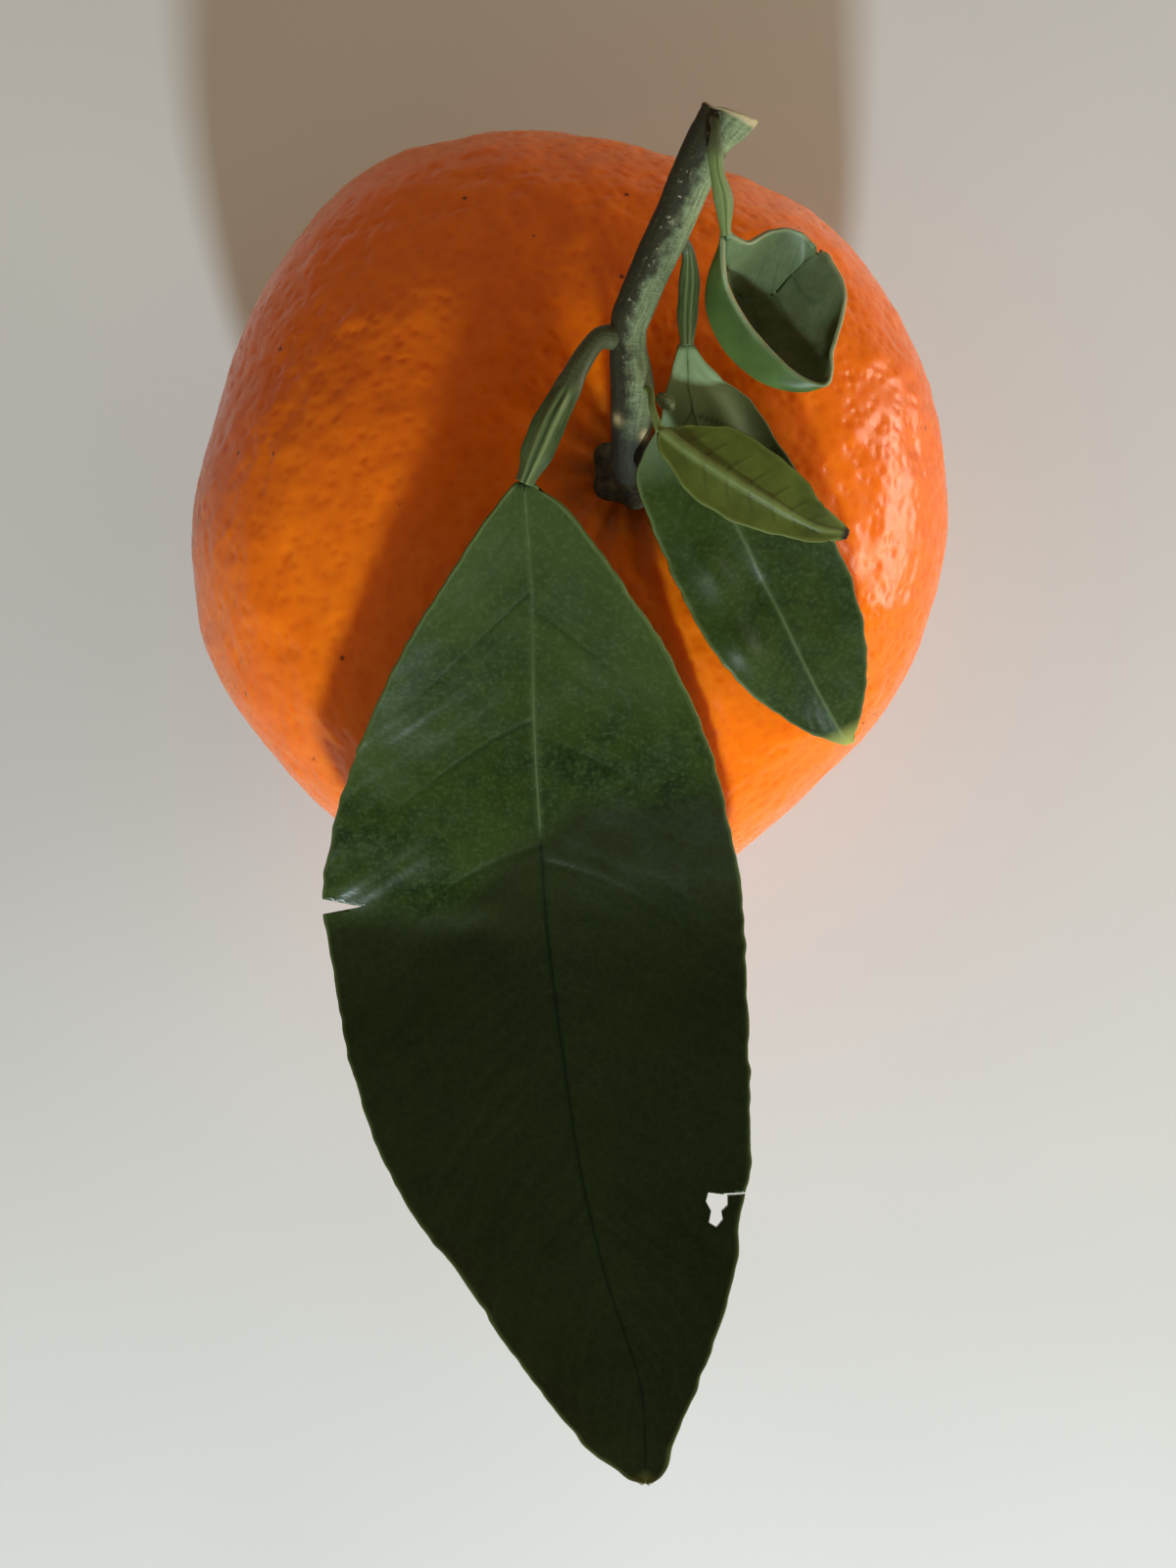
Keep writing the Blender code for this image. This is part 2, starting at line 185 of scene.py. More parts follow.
# ---- Leaf blades ----
# u runs from 0 at a blade's base to 1 at its tip, and v from -1 at its left edge to 1 at its right.
# In a leaf's entries, bow is how far each half bulges, waves are how deep and how wide, rib is the share of
# the full midrib that it has, relief is how deep its veins are sunk, worn is the share of that relief which is
# lost past the bend, and a buckle is its u and v, its reach along both, and its height.
BLADE_REACH = 0.25
BLADE_THICK = 0.32
BLADE_ENDS = (0.08, 0.94)  # the unevenness fades towards the base and the tip
WORN_FROM = (0.40, 0.52)  # u over which a worn leaf loses its relief
MIDRIB_THICK = 0.95
MIDRIB_REACH = 0.5
MIDRIB_TAPER = 0.8
MIDRIB_LINE = (0.06, 0.20, 0.7)  # width at the tip, what the base adds to it, how fast that tapers
RIB_LEAST = 0.02
MIDRIB_SINK = 0.7  # the midrib's line is sunk by this share of a vein's relief
VEIN_OFFSET = 0.018  # the right side's veins start this much further along
VEIN_SWEEP = 0.09
VEIN_REACH = 0.84
VEIN_FADE = 0.35
VEIN_SLANT = 0.75
BROAD_WAVE = 3.2
QUILT_SHARE = 0.28
STREAK_WIDTH = 0.8
STREAK_DEPTH = 0.022
STREAK_LEAN = 0.14
STREAK_ROWS = 3.0
SCALLOP = (1.0, 0.15)  # how wide, how deep
SCALLOP_FROM = 0.9
RIM_LINE = (0.05, 0.32)  # distances from the rim over which its pale line fades
LEAF_DEFAULTS = {
    "worn": 0.0,
    "woody": 1.0,
    "fresh": 0.0,
    "buckles": (),
    "tears": {},
}

BIG_LEAF = {
    "colour": "leaf_green",
    "grid": (300, 58),
    "bow": 0.05,
    "flip": True,
    "waves": (0.20, 3.0),
    "rib": 0.9,
    "worn": 0.7,
    "relief": 0.075,
    "vein_width": 0.15,
    "veins": (0.098, 0.228, 0.36, 0.49, 0.61, 0.73, 0.83),
    "buckles": (
        (0.432, -0.85, 0.022, 0.18, -0.28),
        (0.395, -0.85, 0.022, 0.18, 0.24),
        (0.450, -0.40, 0.018, 0.26, -0.26),
        (0.421, -0.40, 0.018, 0.26, 0.20),
        (0.300, 0.45, 0.060, 0.25, 0.12),
        (0.200, -0.55, 0.060, 0.25, 0.12),
    ),
    "channel_from": 0.38,
    "root": (4.7, 7.4, 60.3, 0.95, 0.85),
    "stalk": (
        (3.5, 7.0, 60.9, 0.75, 0.70), (2.3, 5.3, 61.2, 0.80, 0.70), (1.2, 3.1, 61.4, 1.00, 0.60),
        (0.1, 1.0, 61.4, 1.20, 0.55), (-0.8, -1.0, 61.0, 1.20, 0.55), (-1.6, -2.7, 60.3, 0.75, 0.55),
    ),
    "midrib": (
        (-1.8, -3.3, 60.0), (-1.4, -11.1, 56.6), (-1.4, -20.7, 52.7), (-0.9, -31.2, 49.3),
        (-0.5, -37.1, 48.3), (0.8, -47.1, 48.9), (2.3, -56.4, 50.1), (4.4, -64.6, 51.3), (6.9, -72.0, 52.6),
        (7.3, -79.0, 53.8),
    ),
    "left": (
        (-2.6, -3.3, 60.1), (-5.3, -6.5, 59.3), (-11.4, -15.1, 56.0), (-15.6, -23.2, 52.8),
        (-17.8, -29.6, 50.9), (-18.7, -34.8, 49.2), (-17.8, -40.8, 48.7), (-16.0, -48.7, 50.1),
        (-12.2, -57.3, 51.4), (-7.0, -63.8, 52.4), (-2.4, -70.1, 53.3), (2.3, -75.7, 54.1),
        (4.3, -77.3, 54.0), (5.8, -78.5, 53.9), (7.1, -79.0, 53.9),
    ),
    "right": (
        (-1.0, -3.3, 60.1), (2.2, -6.1, 59.6), (8.8, -15.1, 56.0), (12.6, -23.2, 52.8), (14.6, -30.6, 50.2),
        (15.5, -36.8, 48.9), (15.8, -48.7, 50.1), (15.7, -55.2, 51.0), (15.2, -57.5, 51.3),
        (14.7, -60.0, 51.7), (14.5, -63.1, 52.2), (11.9, -70.4, 53.2), (9.7, -75.2, 53.7),
        (9.2, -76.2, 53.8), (8.9, -77.7, 53.9), (8.2, -78.7, 53.9), (7.4, -79.05, 53.9),
    ),
    "tears": {
        "edge_tear": ((-15.6, -34.9), (-20.6, -33.7), (-20.6, -35.8)),
        "rim_slit": ((13.6, -57.50), (17.0, -57.05), (17.0, -57.23), (13.6, -57.70)),
        "rim_hole": (
            (12.4, -57.5), (13.9, -57.6), (13.9, -58.4), (13.4, -58.9), (13.5, -59.5), (13.0, -60.1),
            (12.4, -59.8), (12.6, -58.9), (12.2, -58.2),
        ),
    },
}

SIDE_LEAF = {
    "colour": "leaf_green",
    "grid": (130, 36),
    "bow": 0.03,
    "flip": True,
    "waves": (0.30, 2.4),
    "rib": 0.8,
    "relief": 0.02,
    "vein_width": 0.12,
    "veins": (0.12, 0.27, 0.42, 0.56, 0.69, 0.81),
    "buckles": (
        (0.46, -0.55, 0.07, 0.22, 0.60),
        (0.53, -0.12, 0.06, 0.18, -0.35),
        (0.63, -0.65, 0.07, 0.22, 0.50),
        (0.20, 0.45, 0.09, 0.25, 0.55),
    ),
    "channel_from": 0.05,
    "root": (9.2, 13.6, 62.3, 0.6, 0.6),
    "stalk": (
        (9.9, 13.0, 61.6, 0.45, 0.40), (10.1, 11.4, 60.7, 0.75, 0.45), (10.0, 9.2, 60.0, 0.75, 0.45),
        (10.0, 7.5, 59.6, 0.55, 0.45),
    ),
    "midrib": (
        (10.0, 7.0, 59.4), (10.3, 3.9, 58.8), (11.5, -0.2, 57.8), (13.3, -4.2, 56.6), (16.1, -8.8, 54.5),
        (20.1, -15.8, 51.4), (22.8, -19.8, 48.8), (24.4, -21.5, 46.8),
    ),
    "left": (
        (9.4, 6.9, 59.5), (8.5, 4.0, 58.8), (8.1, 1.8, 58.4), (6.7, -0.8, 58.4), (6.4, -2.8, 58.1),
        (8.3, -7.0, 56.4), (9.8, -10.1, 55.2), (13.1, -15.4, 53.2), (18.8, -19.8, 49.6),
        (24.1, -21.7, 46.8),
    ),
    "right": (
        (10.6, 6.9, 59.5), (12.4, 5.0, 58.8), (15.0, 3.4, 57.7), (19.5, -2.7, 56.0), (23.4, -9.2, 53.2),
        (25.1, -15.3, 50.5), (25.1, -18.7, 48.4), (24.7, -21.4, 46.8),
    ),
}

SMALL_LEAF = {
    "colour": "young_leaf",
    "grid": (110, 26),
    "bow": -0.04,
    "flip": True,
    "waves": (0.10, 2.0),
    "rib": 0.5,
    "relief": 0.04,
    "vein_width": 0.07,
    "veins": (0.10, 0.22, 0.34, 0.46, 0.58, 0.69, 0.79),
    "channel_from": 2.0,
    "woody": 0.0,
    "fresh": 1.0,
    "root": (6.7, 4.0, 59.3, 0.35, 0.35),
    "stalk": (
        (7.3, 3.5, 60.2, 0.25, 0.25), (7.4, 2.2, 60.8, 0.25, 0.25), (7.8, 0.8, 61.0, 0.30, 0.30),
    ),
    "midrib": (
        (8.1, 0.4, 61.0), (10.4, -1.2, 60.7), (14.6, -3.6, 59.9), (19.2, -5.8, 58.5), (22.1, -6.3, 57.6),
    ),
    "left": (
        (8.5, 0.6, 61.0), (10.2, 1.0, 60.4), (13.1, 0.95, 60.1), (15.2, -0.15, 59.9), (18.2, -2.3, 59.4),
        (20.1, -4.4, 58.9), (22.2, -6.0, 57.6),
    ),
    "right": (
        (7.8, 0.0, 61.0), (7.9, -1.1, 60.9), (8.6, -1.9, 60.7), (10.4, -4.2, 60.2), (14.3, -6.1, 59.4),
        (19.4, -7.0, 58.3), (22.0, -6.6, 57.6),
    ),
}

CURLED_LEAF = {
    "colour": "leaf_green",
    "grid": (150, 48),
    "bow": -0.06,
    "flip": False,
    "waves": (0.12, 2.0),
    "rib": 0.6,
    "relief": 0.015,
    "fresh": 0.6,
    "vein_width": 0.10,
    "veins": (0.18, 0.36, 0.52, 0.66, 0.80),
    "channel_from": 0.3,
    "root": (11.1, 19.4, 67.6, 0.35, 0.35),
    "stalk": (
        (11.2, 18.4, 68.4, 0.30, 0.25), (11.2, 17.0, 68.3, 0.50, 0.35), (11.4, 15.6, 67.7, 0.50, 0.35),
        (11.9, 14.2, 66.9, 0.65, 0.35), (12.1, 12.8, 66.0, 0.40, 0.35),
    ),
    "midrib": (
        (12.2, 12.3, 65.5), (12.6, 11.4, 62.6), (13.4, 10.7, 60.3), (14.7, 10.2, 59.8), (16.1, 10.7, 59.6),
        (17.3, 11.9, 59.7), (18.3, 12.8, 59.9), (19.2, 13.2, 60.9),
    ),
    "left": (
        (12.6, 12.4, 65.6), (14.1, 12.9, 63.5), (15.9, 14.5, 62.0), (18.1, 14.4, 61.5), (19.1, 13.5, 61.1),
    ),
    "right": (
        (11.9, 12.2, 65.7), (12.2, 10.5, 64.9), (12.7, 9.4, 63.7), (14.7, 7.0, 62.2), (17.8, 4.5, 61.2),
        (20.0, 4.0, 60.9), (20.4, 6.6, 61.0), (21.2, 10.2, 61.4), (20.1, 12.8, 61.4), (19.5, 13.3, 61.0),
    ),
    "right_belly": (
        (12.0, 12.3, 64.9), (11.4, 10.8, 62.8), (11.4, 8.9, 61.3), (12.8, 6.4, 60.4), (15.3, 4.7, 60.0),
        (18.3, 5.1, 59.8), (19.4, 8.1, 59.8), (19.5, 11.0, 60.4), (19.4, 13.2, 60.9),
    ),
}

TEAR_HEIGHTS = (44.0, 58.0)
LEAVES = {
    "big_leaf": BIG_LEAF,
    "side_leaf": SIDE_LEAF,
    "small_leaf": SMALL_LEAF,
    "curled_leaf": CURLED_LEAF,
}

# ---- Colours (linear) ----
PEEL_TONES = {
    "deep": (0.82, 0.158, 0.0015),
    "light": (0.87, 0.190, 0.003),
    "mottle": (0.68, 0.100, 0.0015),
    "pore": (0.50, 0.050, 0.001),
    # partly the stem end's own stain, partly painted shade round the calyx under the twig and leaves
    "stain_and_shade": (0.10, 0.055, 0.012),
    "speck": (0.060, 0.010, 0.004),
}
# the calyx's own dry brown, darkened further as painted shade under the twig and the side leaf
CALYX_TONES = {
    "dark": (0.016, 0.012, 0.005),
    "light": (0.060, 0.044, 0.016),
}
BARK_TONES = {
    "dark": (0.065, 0.084, 0.034),
    "light": (0.165, 0.205, 0.095),
    "wrinkle": (0.25, 0.275, 0.17),
    # painted shade: near black on the side of the twig that faces away from the light
    "brown": (0.018, 0.015, 0.006),
    "fleck": (0.42, 0.38, 0.26),
    "crack": (0.020, 0.016, 0.010),
    # painted shade at the twig's foot, under the side leaf that lies over the calyx
    "foot": (0.012, 0.010, 0.006),
    "wood": (0.36, 0.28, 0.15),
    "pith": (0.10, 0.06, 0.03),
    "scar": (0.50, 0.40, 0.19),
}
STALK_TONES = {
    "dark": (0.030, 0.046, 0.013),
    "light": (0.072, 0.096, 0.029),
    "rib": (0.16, 0.20, 0.075),
    "fresh": (0.17, 0.23, 0.065),
    "woody": (0.055, 0.060, 0.028),
    "wing": (0.024, 0.046, 0.012),
    "groove": (0.03, 0.055, 0.018),
}
FLOOR_TONES = {
    "dark": (0.60, 0.590, 0.575),
    "light": (0.65, 0.640, 0.625),
}

# ---- Leaf colours (linear), shares and spans along the leaf from 0 at its base to 1 at its tip ----
LEAF_TONES = {
    "dark": (0.006, 0.015, 0.003),
    "light": (0.025, 0.045, 0.006),
    "fleck": (0.052, 0.078, 0.026),
    # painted shade: a darker tone past a leaf's bend, where that part of the blade turns away from the light
    "painted_shade": (0.012, 0.016, 0.006),
    "painted_shade_share": 0.0,
    "painted_shade_from": (0.415, 0.455),
    "base": (0.10, 0.15, 0.06),
    "base_share": 0.15,
    "tip": (0.10, 0.10, 0.03),
    "tip_from": (0.985, 1.0),
    "vein": (0.010, 0.020, 0.005),
    "vein_share": 0.65,
    "midrib": (0.085, 0.125, 0.050),
    # the midrib's colour inside the painted shade past the bend
    "painted_shade_midrib": (0.004, 0.009, 0.004),
    "under": (0.085, 0.150, 0.045),
    "under_vein": (0.15, 0.21, 0.08),
    "under_vein_share": 0.4,
    "under_midrib": (0.20, 0.26, 0.11),
    "edge": (0.115, 0.150, 0.050),
    "rough": 0.30,
    "gloss": 0.32,
    "through": 0.0,
}
OWN_TONES = {
    # the big leaf carries strong painted shade past its bend
    "big_leaf": {"painted_shade_share": 0.85, "rough": 0.21, "gloss": 0.17},
    "side_leaf": {
        # painted light: the side leaf's base is much paler than its own green, in place of light that the
        # small leaf's shadow keeps from it
        "base": (0.24, 0.33, 0.17),
        "base_share": 0.90,
        "tip": (0.32, 0.33, 0.08),
        "tip_from": (0.93, 1.0),
        "rough": 0.38,
        "gloss": 0.20,
    },
    "small_leaf": {
        "dark": (0.03, 0.06, 0.015),
        "light": (0.05, 0.09, 0.02),
        "under": (0.078, 0.098, 0.014),
        "under_vein": (0.024, 0.032, 0.006),
        "under_vein_share": 0.65,
        "under_midrib": (0.145, 0.175, 0.050),
        "edge": (0.13, 0.15, 0.035),
        "gloss": 0.2,
        "tip": (0.02, 0.010, 0.005),
        "tip_from": (0.955, 0.985),
        "rough": 0.48,
    },
    "curled_leaf": {
        "dark": (0.044, 0.064, 0.024),
        "light": (0.105, 0.138, 0.068),
        "under": (0.072, 0.128, 0.028),
        "through": 0.5,
        "gloss": 0.15,
        "vein_share": 0.25,
        "edge": (0.24, 0.29, 0.16),
        "rough": 0.38,
    },
}

# ---- Floor, camera and light, in mm ----
FLOOR_HALF = 1500.0
FLOOR_DROP = 0.02
CAMERA_PLACE = (2.8, -24.9, 152.0)
CAMERA_LENS = 29.14
CAMERA_SENSOR = 36.0
CAMERA_NEAR = 5.0
KEY_PLACE = (45.0, -520.0, 260.0)
KEY_TARGET = (0.0, 0.0, 25.0)
KEY_SIZE = (46.0, 46.0)
KEY_POWER = 4.1
KEY_COLOUR = (0.77, 0.92, 1.0)
WINDOW_PLACE = (450.0, 50.0, 65.0)
WINDOW_TARGET = (20.0, 0.0, 30.0)
WINDOW_SIZE = (300.0, 135.0)
WINDOW_POWER = 1.7
WINDOW_COLOUR = (1.0, 0.92, 0.80)
ROOM_TONES = (  # height of a direction, from level to straight up, and the light that comes from there
    (0.0, (0.16, 0.13, 0.09)),
    (0.97, (0.06, 0.05, 0.04)),
    (0.30, (0.42, 0.325, 0.205)),
    (0.72, (0.42, 0.325, 0.205)),
)


# ================= Geometry helpers =================


def along(points, samples):
    """Evenly spaced stations along a smooth curve through x, y, z and any further columns."""
    fixed = np.array(points, dtype=float)
    fixed = np.vstack([2 * fixed[0] - fixed[1], fixed, 2 * fixed[-1] - fixed[-2]])
    place = np.linspace(0, len(points) - 1.000001, 80 * len(points))
    span = place.astype(int)
    part = (place - span)[:, None]
    a, b, c, d = (fixed[span + step] for step in range(4))
    cubic = part * (3 * b - a - 3 * c + d)
    curve = b + 0.5 * part * (c - a + part * (2 * a - 5 * b + 4 * c - d + cubic))
    steps = np.linalg.norm(np.diff(curve[:, :3], axis=0), axis=1)
    length = np.concatenate([[0.0], np.cumsum(steps)])
    wanted = np.linspace(0.0, length[-1], samples)
    columns = [np.interp(wanted, length, column) for column in curve.T]
    return np.stack(columns, axis=1)


def unit(vectors):
    """The same vectors with a length of 1."""
    return vectors / np.maximum(np.linalg.norm(vectors, axis=-1, keepdims=True), 1e-9)


def smooth_step(value, low, high):
    """0 below low, 1 above high, and a smooth rise between them."""
    share = np.clip((value - low) / (high - low), 0.0, 1.0)
    return share * share * (3 - 2 * share)


def lattice_value(cells, seed):
    """A repeatable number from -1 to 1 for each whole-numbered cell."""
    mixed = cells[..., 0] * 73856093 ^ cells[..., 1] * 19349663 ^ cells[..., 2] * 83492791
    mixed = (mixed ^ (seed * 2654435761)) & 0xFFFFFFFF
    mixed = (mixed ^ (mixed >> 15)) * 2246822519 & 0xFFFFFFFF
    mixed = (mixed ^ (mixed >> 13)) * 3266489917 & 0xFFFFFFFF
    return (mixed ^ (mixed >> 16)) / 0x7FFFFFFF - 1.0


def noise(points, size, seed):
    """Smooth lumps about size mm across, from -1 to 1."""
    scaled = np.asarray(points) / size
    cell = np.floor(scaled).astype(np.int64)
    part = scaled - cell
    part = part * part * (3 - 2 * part)
    total = 0.0
    for corner in np.ndindex(2, 2, 2):
        weight = np.prod(np.where(corner, part, 1 - part), axis=-1)
        total = total + weight * lattice_value(cell + np.array(corner), seed)
    return total


def full_turn(corners):
    """Evenly spaced angles round a circle."""
    return np.linspace(0.0, 2 * np.pi, corners, endpoint=False)


def ball_grid(around_count, down_count):
    """Turns round a ball and angles down from its top, for all its rings but the two poles."""
    down = np.linspace(0.0, np.pi, down_count + 1)[1:-1]
    return np.meshgrid(full_turn(around_count), down)


def grid_faces(rows, columns, closed):
    """Four-cornered faces over rows of points, joined round where closed."""
    across = np.arange(columns if closed else columns - 1)
    start = np.arange(rows - 1)[:, None] * columns
    here = start + across
    after = start + (across + 1) % columns
    return np.stack([here, after, after + columns, here + columns], axis=-1).reshape(-1, 4)


def add_piece(name, points, faces, ends=()):
    """A smooth mesh piece from points in mm, its four-cornered faces and any end caps."""
    mesh = bpy.data.meshes.new(name)
    corners = (np.asarray(points) * MM).tolist()
    mesh.from_pydata(corners, [], faces.tolist() + [list(end) for end in ends])
    mesh.shade_smooth()
    piece = bpy.data.objects.new(name, mesh)
    bpy.context.scene.collection.objects.link(piece)
    return piece


def face_outwards(piece):
    """Turns every face of a closed piece outwards."""
    shape = bmesh.new()
    shape.from_mesh(piece.data)
    bmesh.ops.recalc_face_normals(shape, faces=shape.faces)
    shape.to_mesh(piece.data)
    shape.free()


def keep_value(piece, name, values):
    """Stores one number for each point, which the piece's material reads."""
    layer = piece.data.attributes.new(name, "FLOAT", "POINT")
    layer.data.foreach_set("value", np.asarray(values, dtype=np.float32).ravel())


def keep_vector(piece, name, values):
    """Stores three numbers for each point, which the piece's material reads."""
    layer = piece.data.attributes.new(name, "FLOAT_VECTOR", "POINT")
    layer.data.foreach_set("vector", np.asarray(values, dtype=np.float32).ravel())


def place_piece(piece, node, material):
    """The piece rides on the body, stands for its CAD node, and gets its material."""
    piece.data.materials.clear()
    piece.data.materials.append(material)
    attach(piece, "root")
    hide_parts(node)


# ================= Fruit and calyx =================


def fruit_points(around, down):
    """Points of the smooth peel for turns round the fruit and angles down from its top."""
    ring = np.sin(down)
    rise = np.cos(down)
    lobes = sum(
        depth * np.cos(count * (around - np.radians(facing)))
        for count, depth, facing in FRUIT_LOBES
    )
    spread = ring**FRUIT_FULLNESS * (1.0 + lobes * ring**2)
    x = FRUIT_HALF_X * spread * np.cos(around)
    y = FRUIT_HALF_Y * spread * np.sin(around)
    middle = FRUIT_HALF_HEIGHT - FRUIT_BASE_SINK
    z = middle + FRUIT_HALF_HEIGHT * np.sign(rise) * np.abs(rise) ** FRUIT_CROWN
    dimple = STEM_DIMPLE_DEPTH * np.exp(-(x**2 + y**2) / STEM_DIMPLE_RADIUS**2)
    lean = np.clip((z - middle) / FRUIT_HALF_HEIGHT, 0.0, 1.0) ** FRUIT_LEAN_RISE
    x = x + FRUIT_LEAN[0] * lean
    y = y + FRUIT_LEAN[1] * lean
    z = np.where(rise > 0.0, z - dimple, z)
    return np.stack([x, y, np.maximum(z, 0.0)], axis=-1)


def spread_points(count, seed):
    """Turns and angles of points spread evenly, but not in rows, over the fruit."""
    chance = np.random.default_rng(seed)
    order = np.arange(count) + 0.5
    turn = order * np.pi * (3 - np.sqrt(5))
    turn = turn + chance.normal(0.0, SPREAD_JITTER, count) / np.sqrt(count) * 2
    level = 1 - 2 * order / count + chance.normal(0.0, LEVEL_JITTER, count) / count
    jitter = chance.normal(0.0, SPREAD_JITTER, (2, count)) * np.sqrt(4 * np.pi / count)
    down = np.arccos(np.clip(level, -0.9999, 0.9999))
    turn = turn + jitter[0] / np.maximum(np.sin(down), 0.05)
    return turn, np.clip(down + jitter[1], 0.001, np.pi - 0.001)


def nearest(points, targets):
    """For each point, how far the nearest target is and which one it is."""
    tree = kdtree.KDTree(len(targets))
    for n, target in enumerate(targets):
        tree.insert(target, n)
    tree.balance()
    found = [tree.find(point)[1:] for point in points]
    which, distance = np.array(found).T
    return distance, which.astype(int)


def round_marks(chance, points, targets, radius, sizes):
    """How far each point lies in the nearest of many round marks, with that mark's size and number."""
    distance, which = nearest(points, targets)
    size = chance.uniform(*sizes, len(targets))[which]
    return np.exp(-((distance / (radius * size)) ** 2)), size, which


def pore_pattern(chance, points):
    """How far each point lies in an oil-gland pit, and how deep it is sunk there."""
    pores = fruit_points(*spread_points(PORE_COUNT, SEED + 1))
    pore, size, which = round_marks(chance, points, pores, PORE_RADIUS, PORE_SIZES)
    patches = 0.8 + 0.4 * noise(points, PORE_PATCH, SEED + 2)
    deep = chance.uniform(*PORE_DEPTHS, PORE_COUNT)[which] * patches
    return pore, PORE_DEPTH * deep * pore * size


def speck_pattern(chance, points):
    """How far each point lies in one of the small dark specks."""
    turn = chance.uniform(0, 2 * np.pi, SPECK_COUNT)
    down = np.arccos(chance.uniform(*SPECK_LEVELS, SPECK_COUNT))
    return round_marks(chance, points, fruit_points(turn, down), SPECK_RADIUS, SPECK_SIZES)[0]


def stem_end_pattern(points):
    """How high the pleats round the stem stand, and how dark each point is there from its stain and painted
    shade.
    """
    away = points - np.array([*FRUIT_LEAN, 0.0])
    from_stem = np.linalg.norm(away[:, :2], axis=1)
    on_top = smooth_step(points[:, 2], *STEM_END)
    turn = np.arctan2(away[:, 1], away[:, 0])
    pleats = np.cos(PLEAT_COUNT * turn + 2 * noise(points, PLEAT_BEND, SEED + 3))
    fade = on_top * np.exp(-(((from_stem - PLEAT_PLACE) / PLEAT_REACH) ** 2))
    stain_and_shade = on_top * np.exp(-((from_stem / STEM_STAIN_AND_SHADE_RADIUS) ** 2))
    return PLEAT_HEIGHT * pleats * fade, stain_and_shade


def close_poles(points, around_count):
    """The points of a ball of rings with its two poles added, and the triangles round each pole."""
    ring = np.arange(around_count)
    after = (ring + 1) % around_count
    top = len(points)
    last = top - around_count
    caps = [(top, after_n, n) for n, after_n in zip(ring, after)]
    caps += [(top + 1, last + n, last + after_n) for n, after_n in zip(ring, after)]
    poles = (points[:around_count].mean(axis=0), points[-around_count:].mean(axis=0))
    return np.vstack([points, *poles]), caps


def make_fruit(material):
    """The peel: lumps, oil-gland pits, pleats into the stem dimple, and dark specks."""
    around_count, down_count = FRUIT_GRID
    smooth = fruit_points(*ball_grid(around_count, down_count))
    along_turn = np.roll(smooth, -1, axis=1) - np.roll(smooth, 1, axis=1)
    along_down = np.gradient(smooth, axis=0)
    outward = unit(np.cross(along_down, along_turn)).reshape(-1, 3)
    points = smooth.reshape(-1, 3)

    chance = np.random.default_rng(SEED)
    pore, sunk = pore_pattern(chance, points)
    speck = speck_pattern(chance, points)
    pleats, stain_and_shade = stem_end_pattern(points)
    lift = sum(
        height * noise(points, size, SEED + 4 + n)
        for n, (size, height) in enumerate(PEEL_LUMPS)
    )
    lift = lift + pleats - sunk - SPECK_DEPTH * speck
    standing = smooth_step(points[:, 2], *BASE_FADE)
    points = points + outward * (lift * standing)[:, None] - outward * PEEL_INSET

    points, caps = close_poles(points, around_count)
    points[:, 2] = np.maximum(points[:, 2], 0.0)
    piece = add_piece("peel", points, grid_faces(down_count - 1, around_count, closed=True), caps)
    face_outwards(piece)
    keep_value(piece, "pore", np.append(pore, [0, 0]))
    keep_value(piece, "speck", np.append(speck, [0, 0]))
    keep_value(piece, "stem_stain_and_shade", np.append(stain_and_shade, [1, 0]))
    place_piece(piece, "mandarin_fruit", material)


def make_calyx(material):
    """The dry lobed button, dished below and finely wrinkled on top."""
    around_count, down_count = CALYX_GRID
    turn, down = ball_grid(around_count, down_count)
    lobes = 1.0 + CALYX_LOBE_DEPTH * np.cos(CALYX_LOBES * turn)
    radius = CALYX_RADIUS * np.sin(down) * lobes
    x = FRUIT_LEAN[0] + radius * np.cos(turn)
    y = FRUIT_LEAN[1] + radius * np.sin(turn)
    z = CALYX_FOOT + CALYX_DISH * (radius / CALYX_RADIUS) ** 2
    z = z + CALYX_THICK * (0.5 + 0.5 * np.cos(down))
    points = np.stack([x, y, z], axis=-1).reshape(-1, 3)
    size, height = CALYX_WRINKLE
    points[:, 2] += height * noise(points, size, SEED + 20) * (down < CALYX_TOP).ravel()
    size, depth = CALYX_EDGE_WEAR
    points[:, :2] *= 1.0 + depth * noise(points, size, SEED + 21)[:, None]
    first = np.arange(around_count)
    last = len(points) - around_count + first
    faces = grid_faces(down_count - 1, around_count, closed=True)
    piece = add_piece("calyx_button", points, faces, (first[::-1], last))
    face_outwards(piece)
    place_piece(piece, "calyx", material)


# ================= Twig, bud and leaf stalks =================


def square_frames(centre):
    """Directions forward, across and up at each station of a path."""
    forward = unit(np.gradient(centre, axis=0))
    across = unit(np.cross(forward, (0.0, 0.0, 1.0)))
    return forward, across, np.cross(across, forward)


def rings_about(centre, sideways, raised):
    """Rings of points set square to a path, from how far each lies sideways and up from it."""
    _, across, upward = square_frames(centre)
    return centre[:, None] + across[:, None] * sideways[..., None] + upward[:, None] * raised[..., None]


def loft(name, rings, fibre):
    """A closed tube through rings of points, with its fibre coordinates kept for the material."""
    stations, corners = rings.shape[:2]
    first = np.arange(corners)
    last = (stations - 1) * corners + first
    faces = grid_faces(stations, corners, closed=True)
    piece = add_piece(name, rings.reshape(-1, 3), faces, (first[::-1], last))
    face_outwards(piece)
    keep_vector(piece, "fibre", fibre.reshape(-1, 3))
    return piece


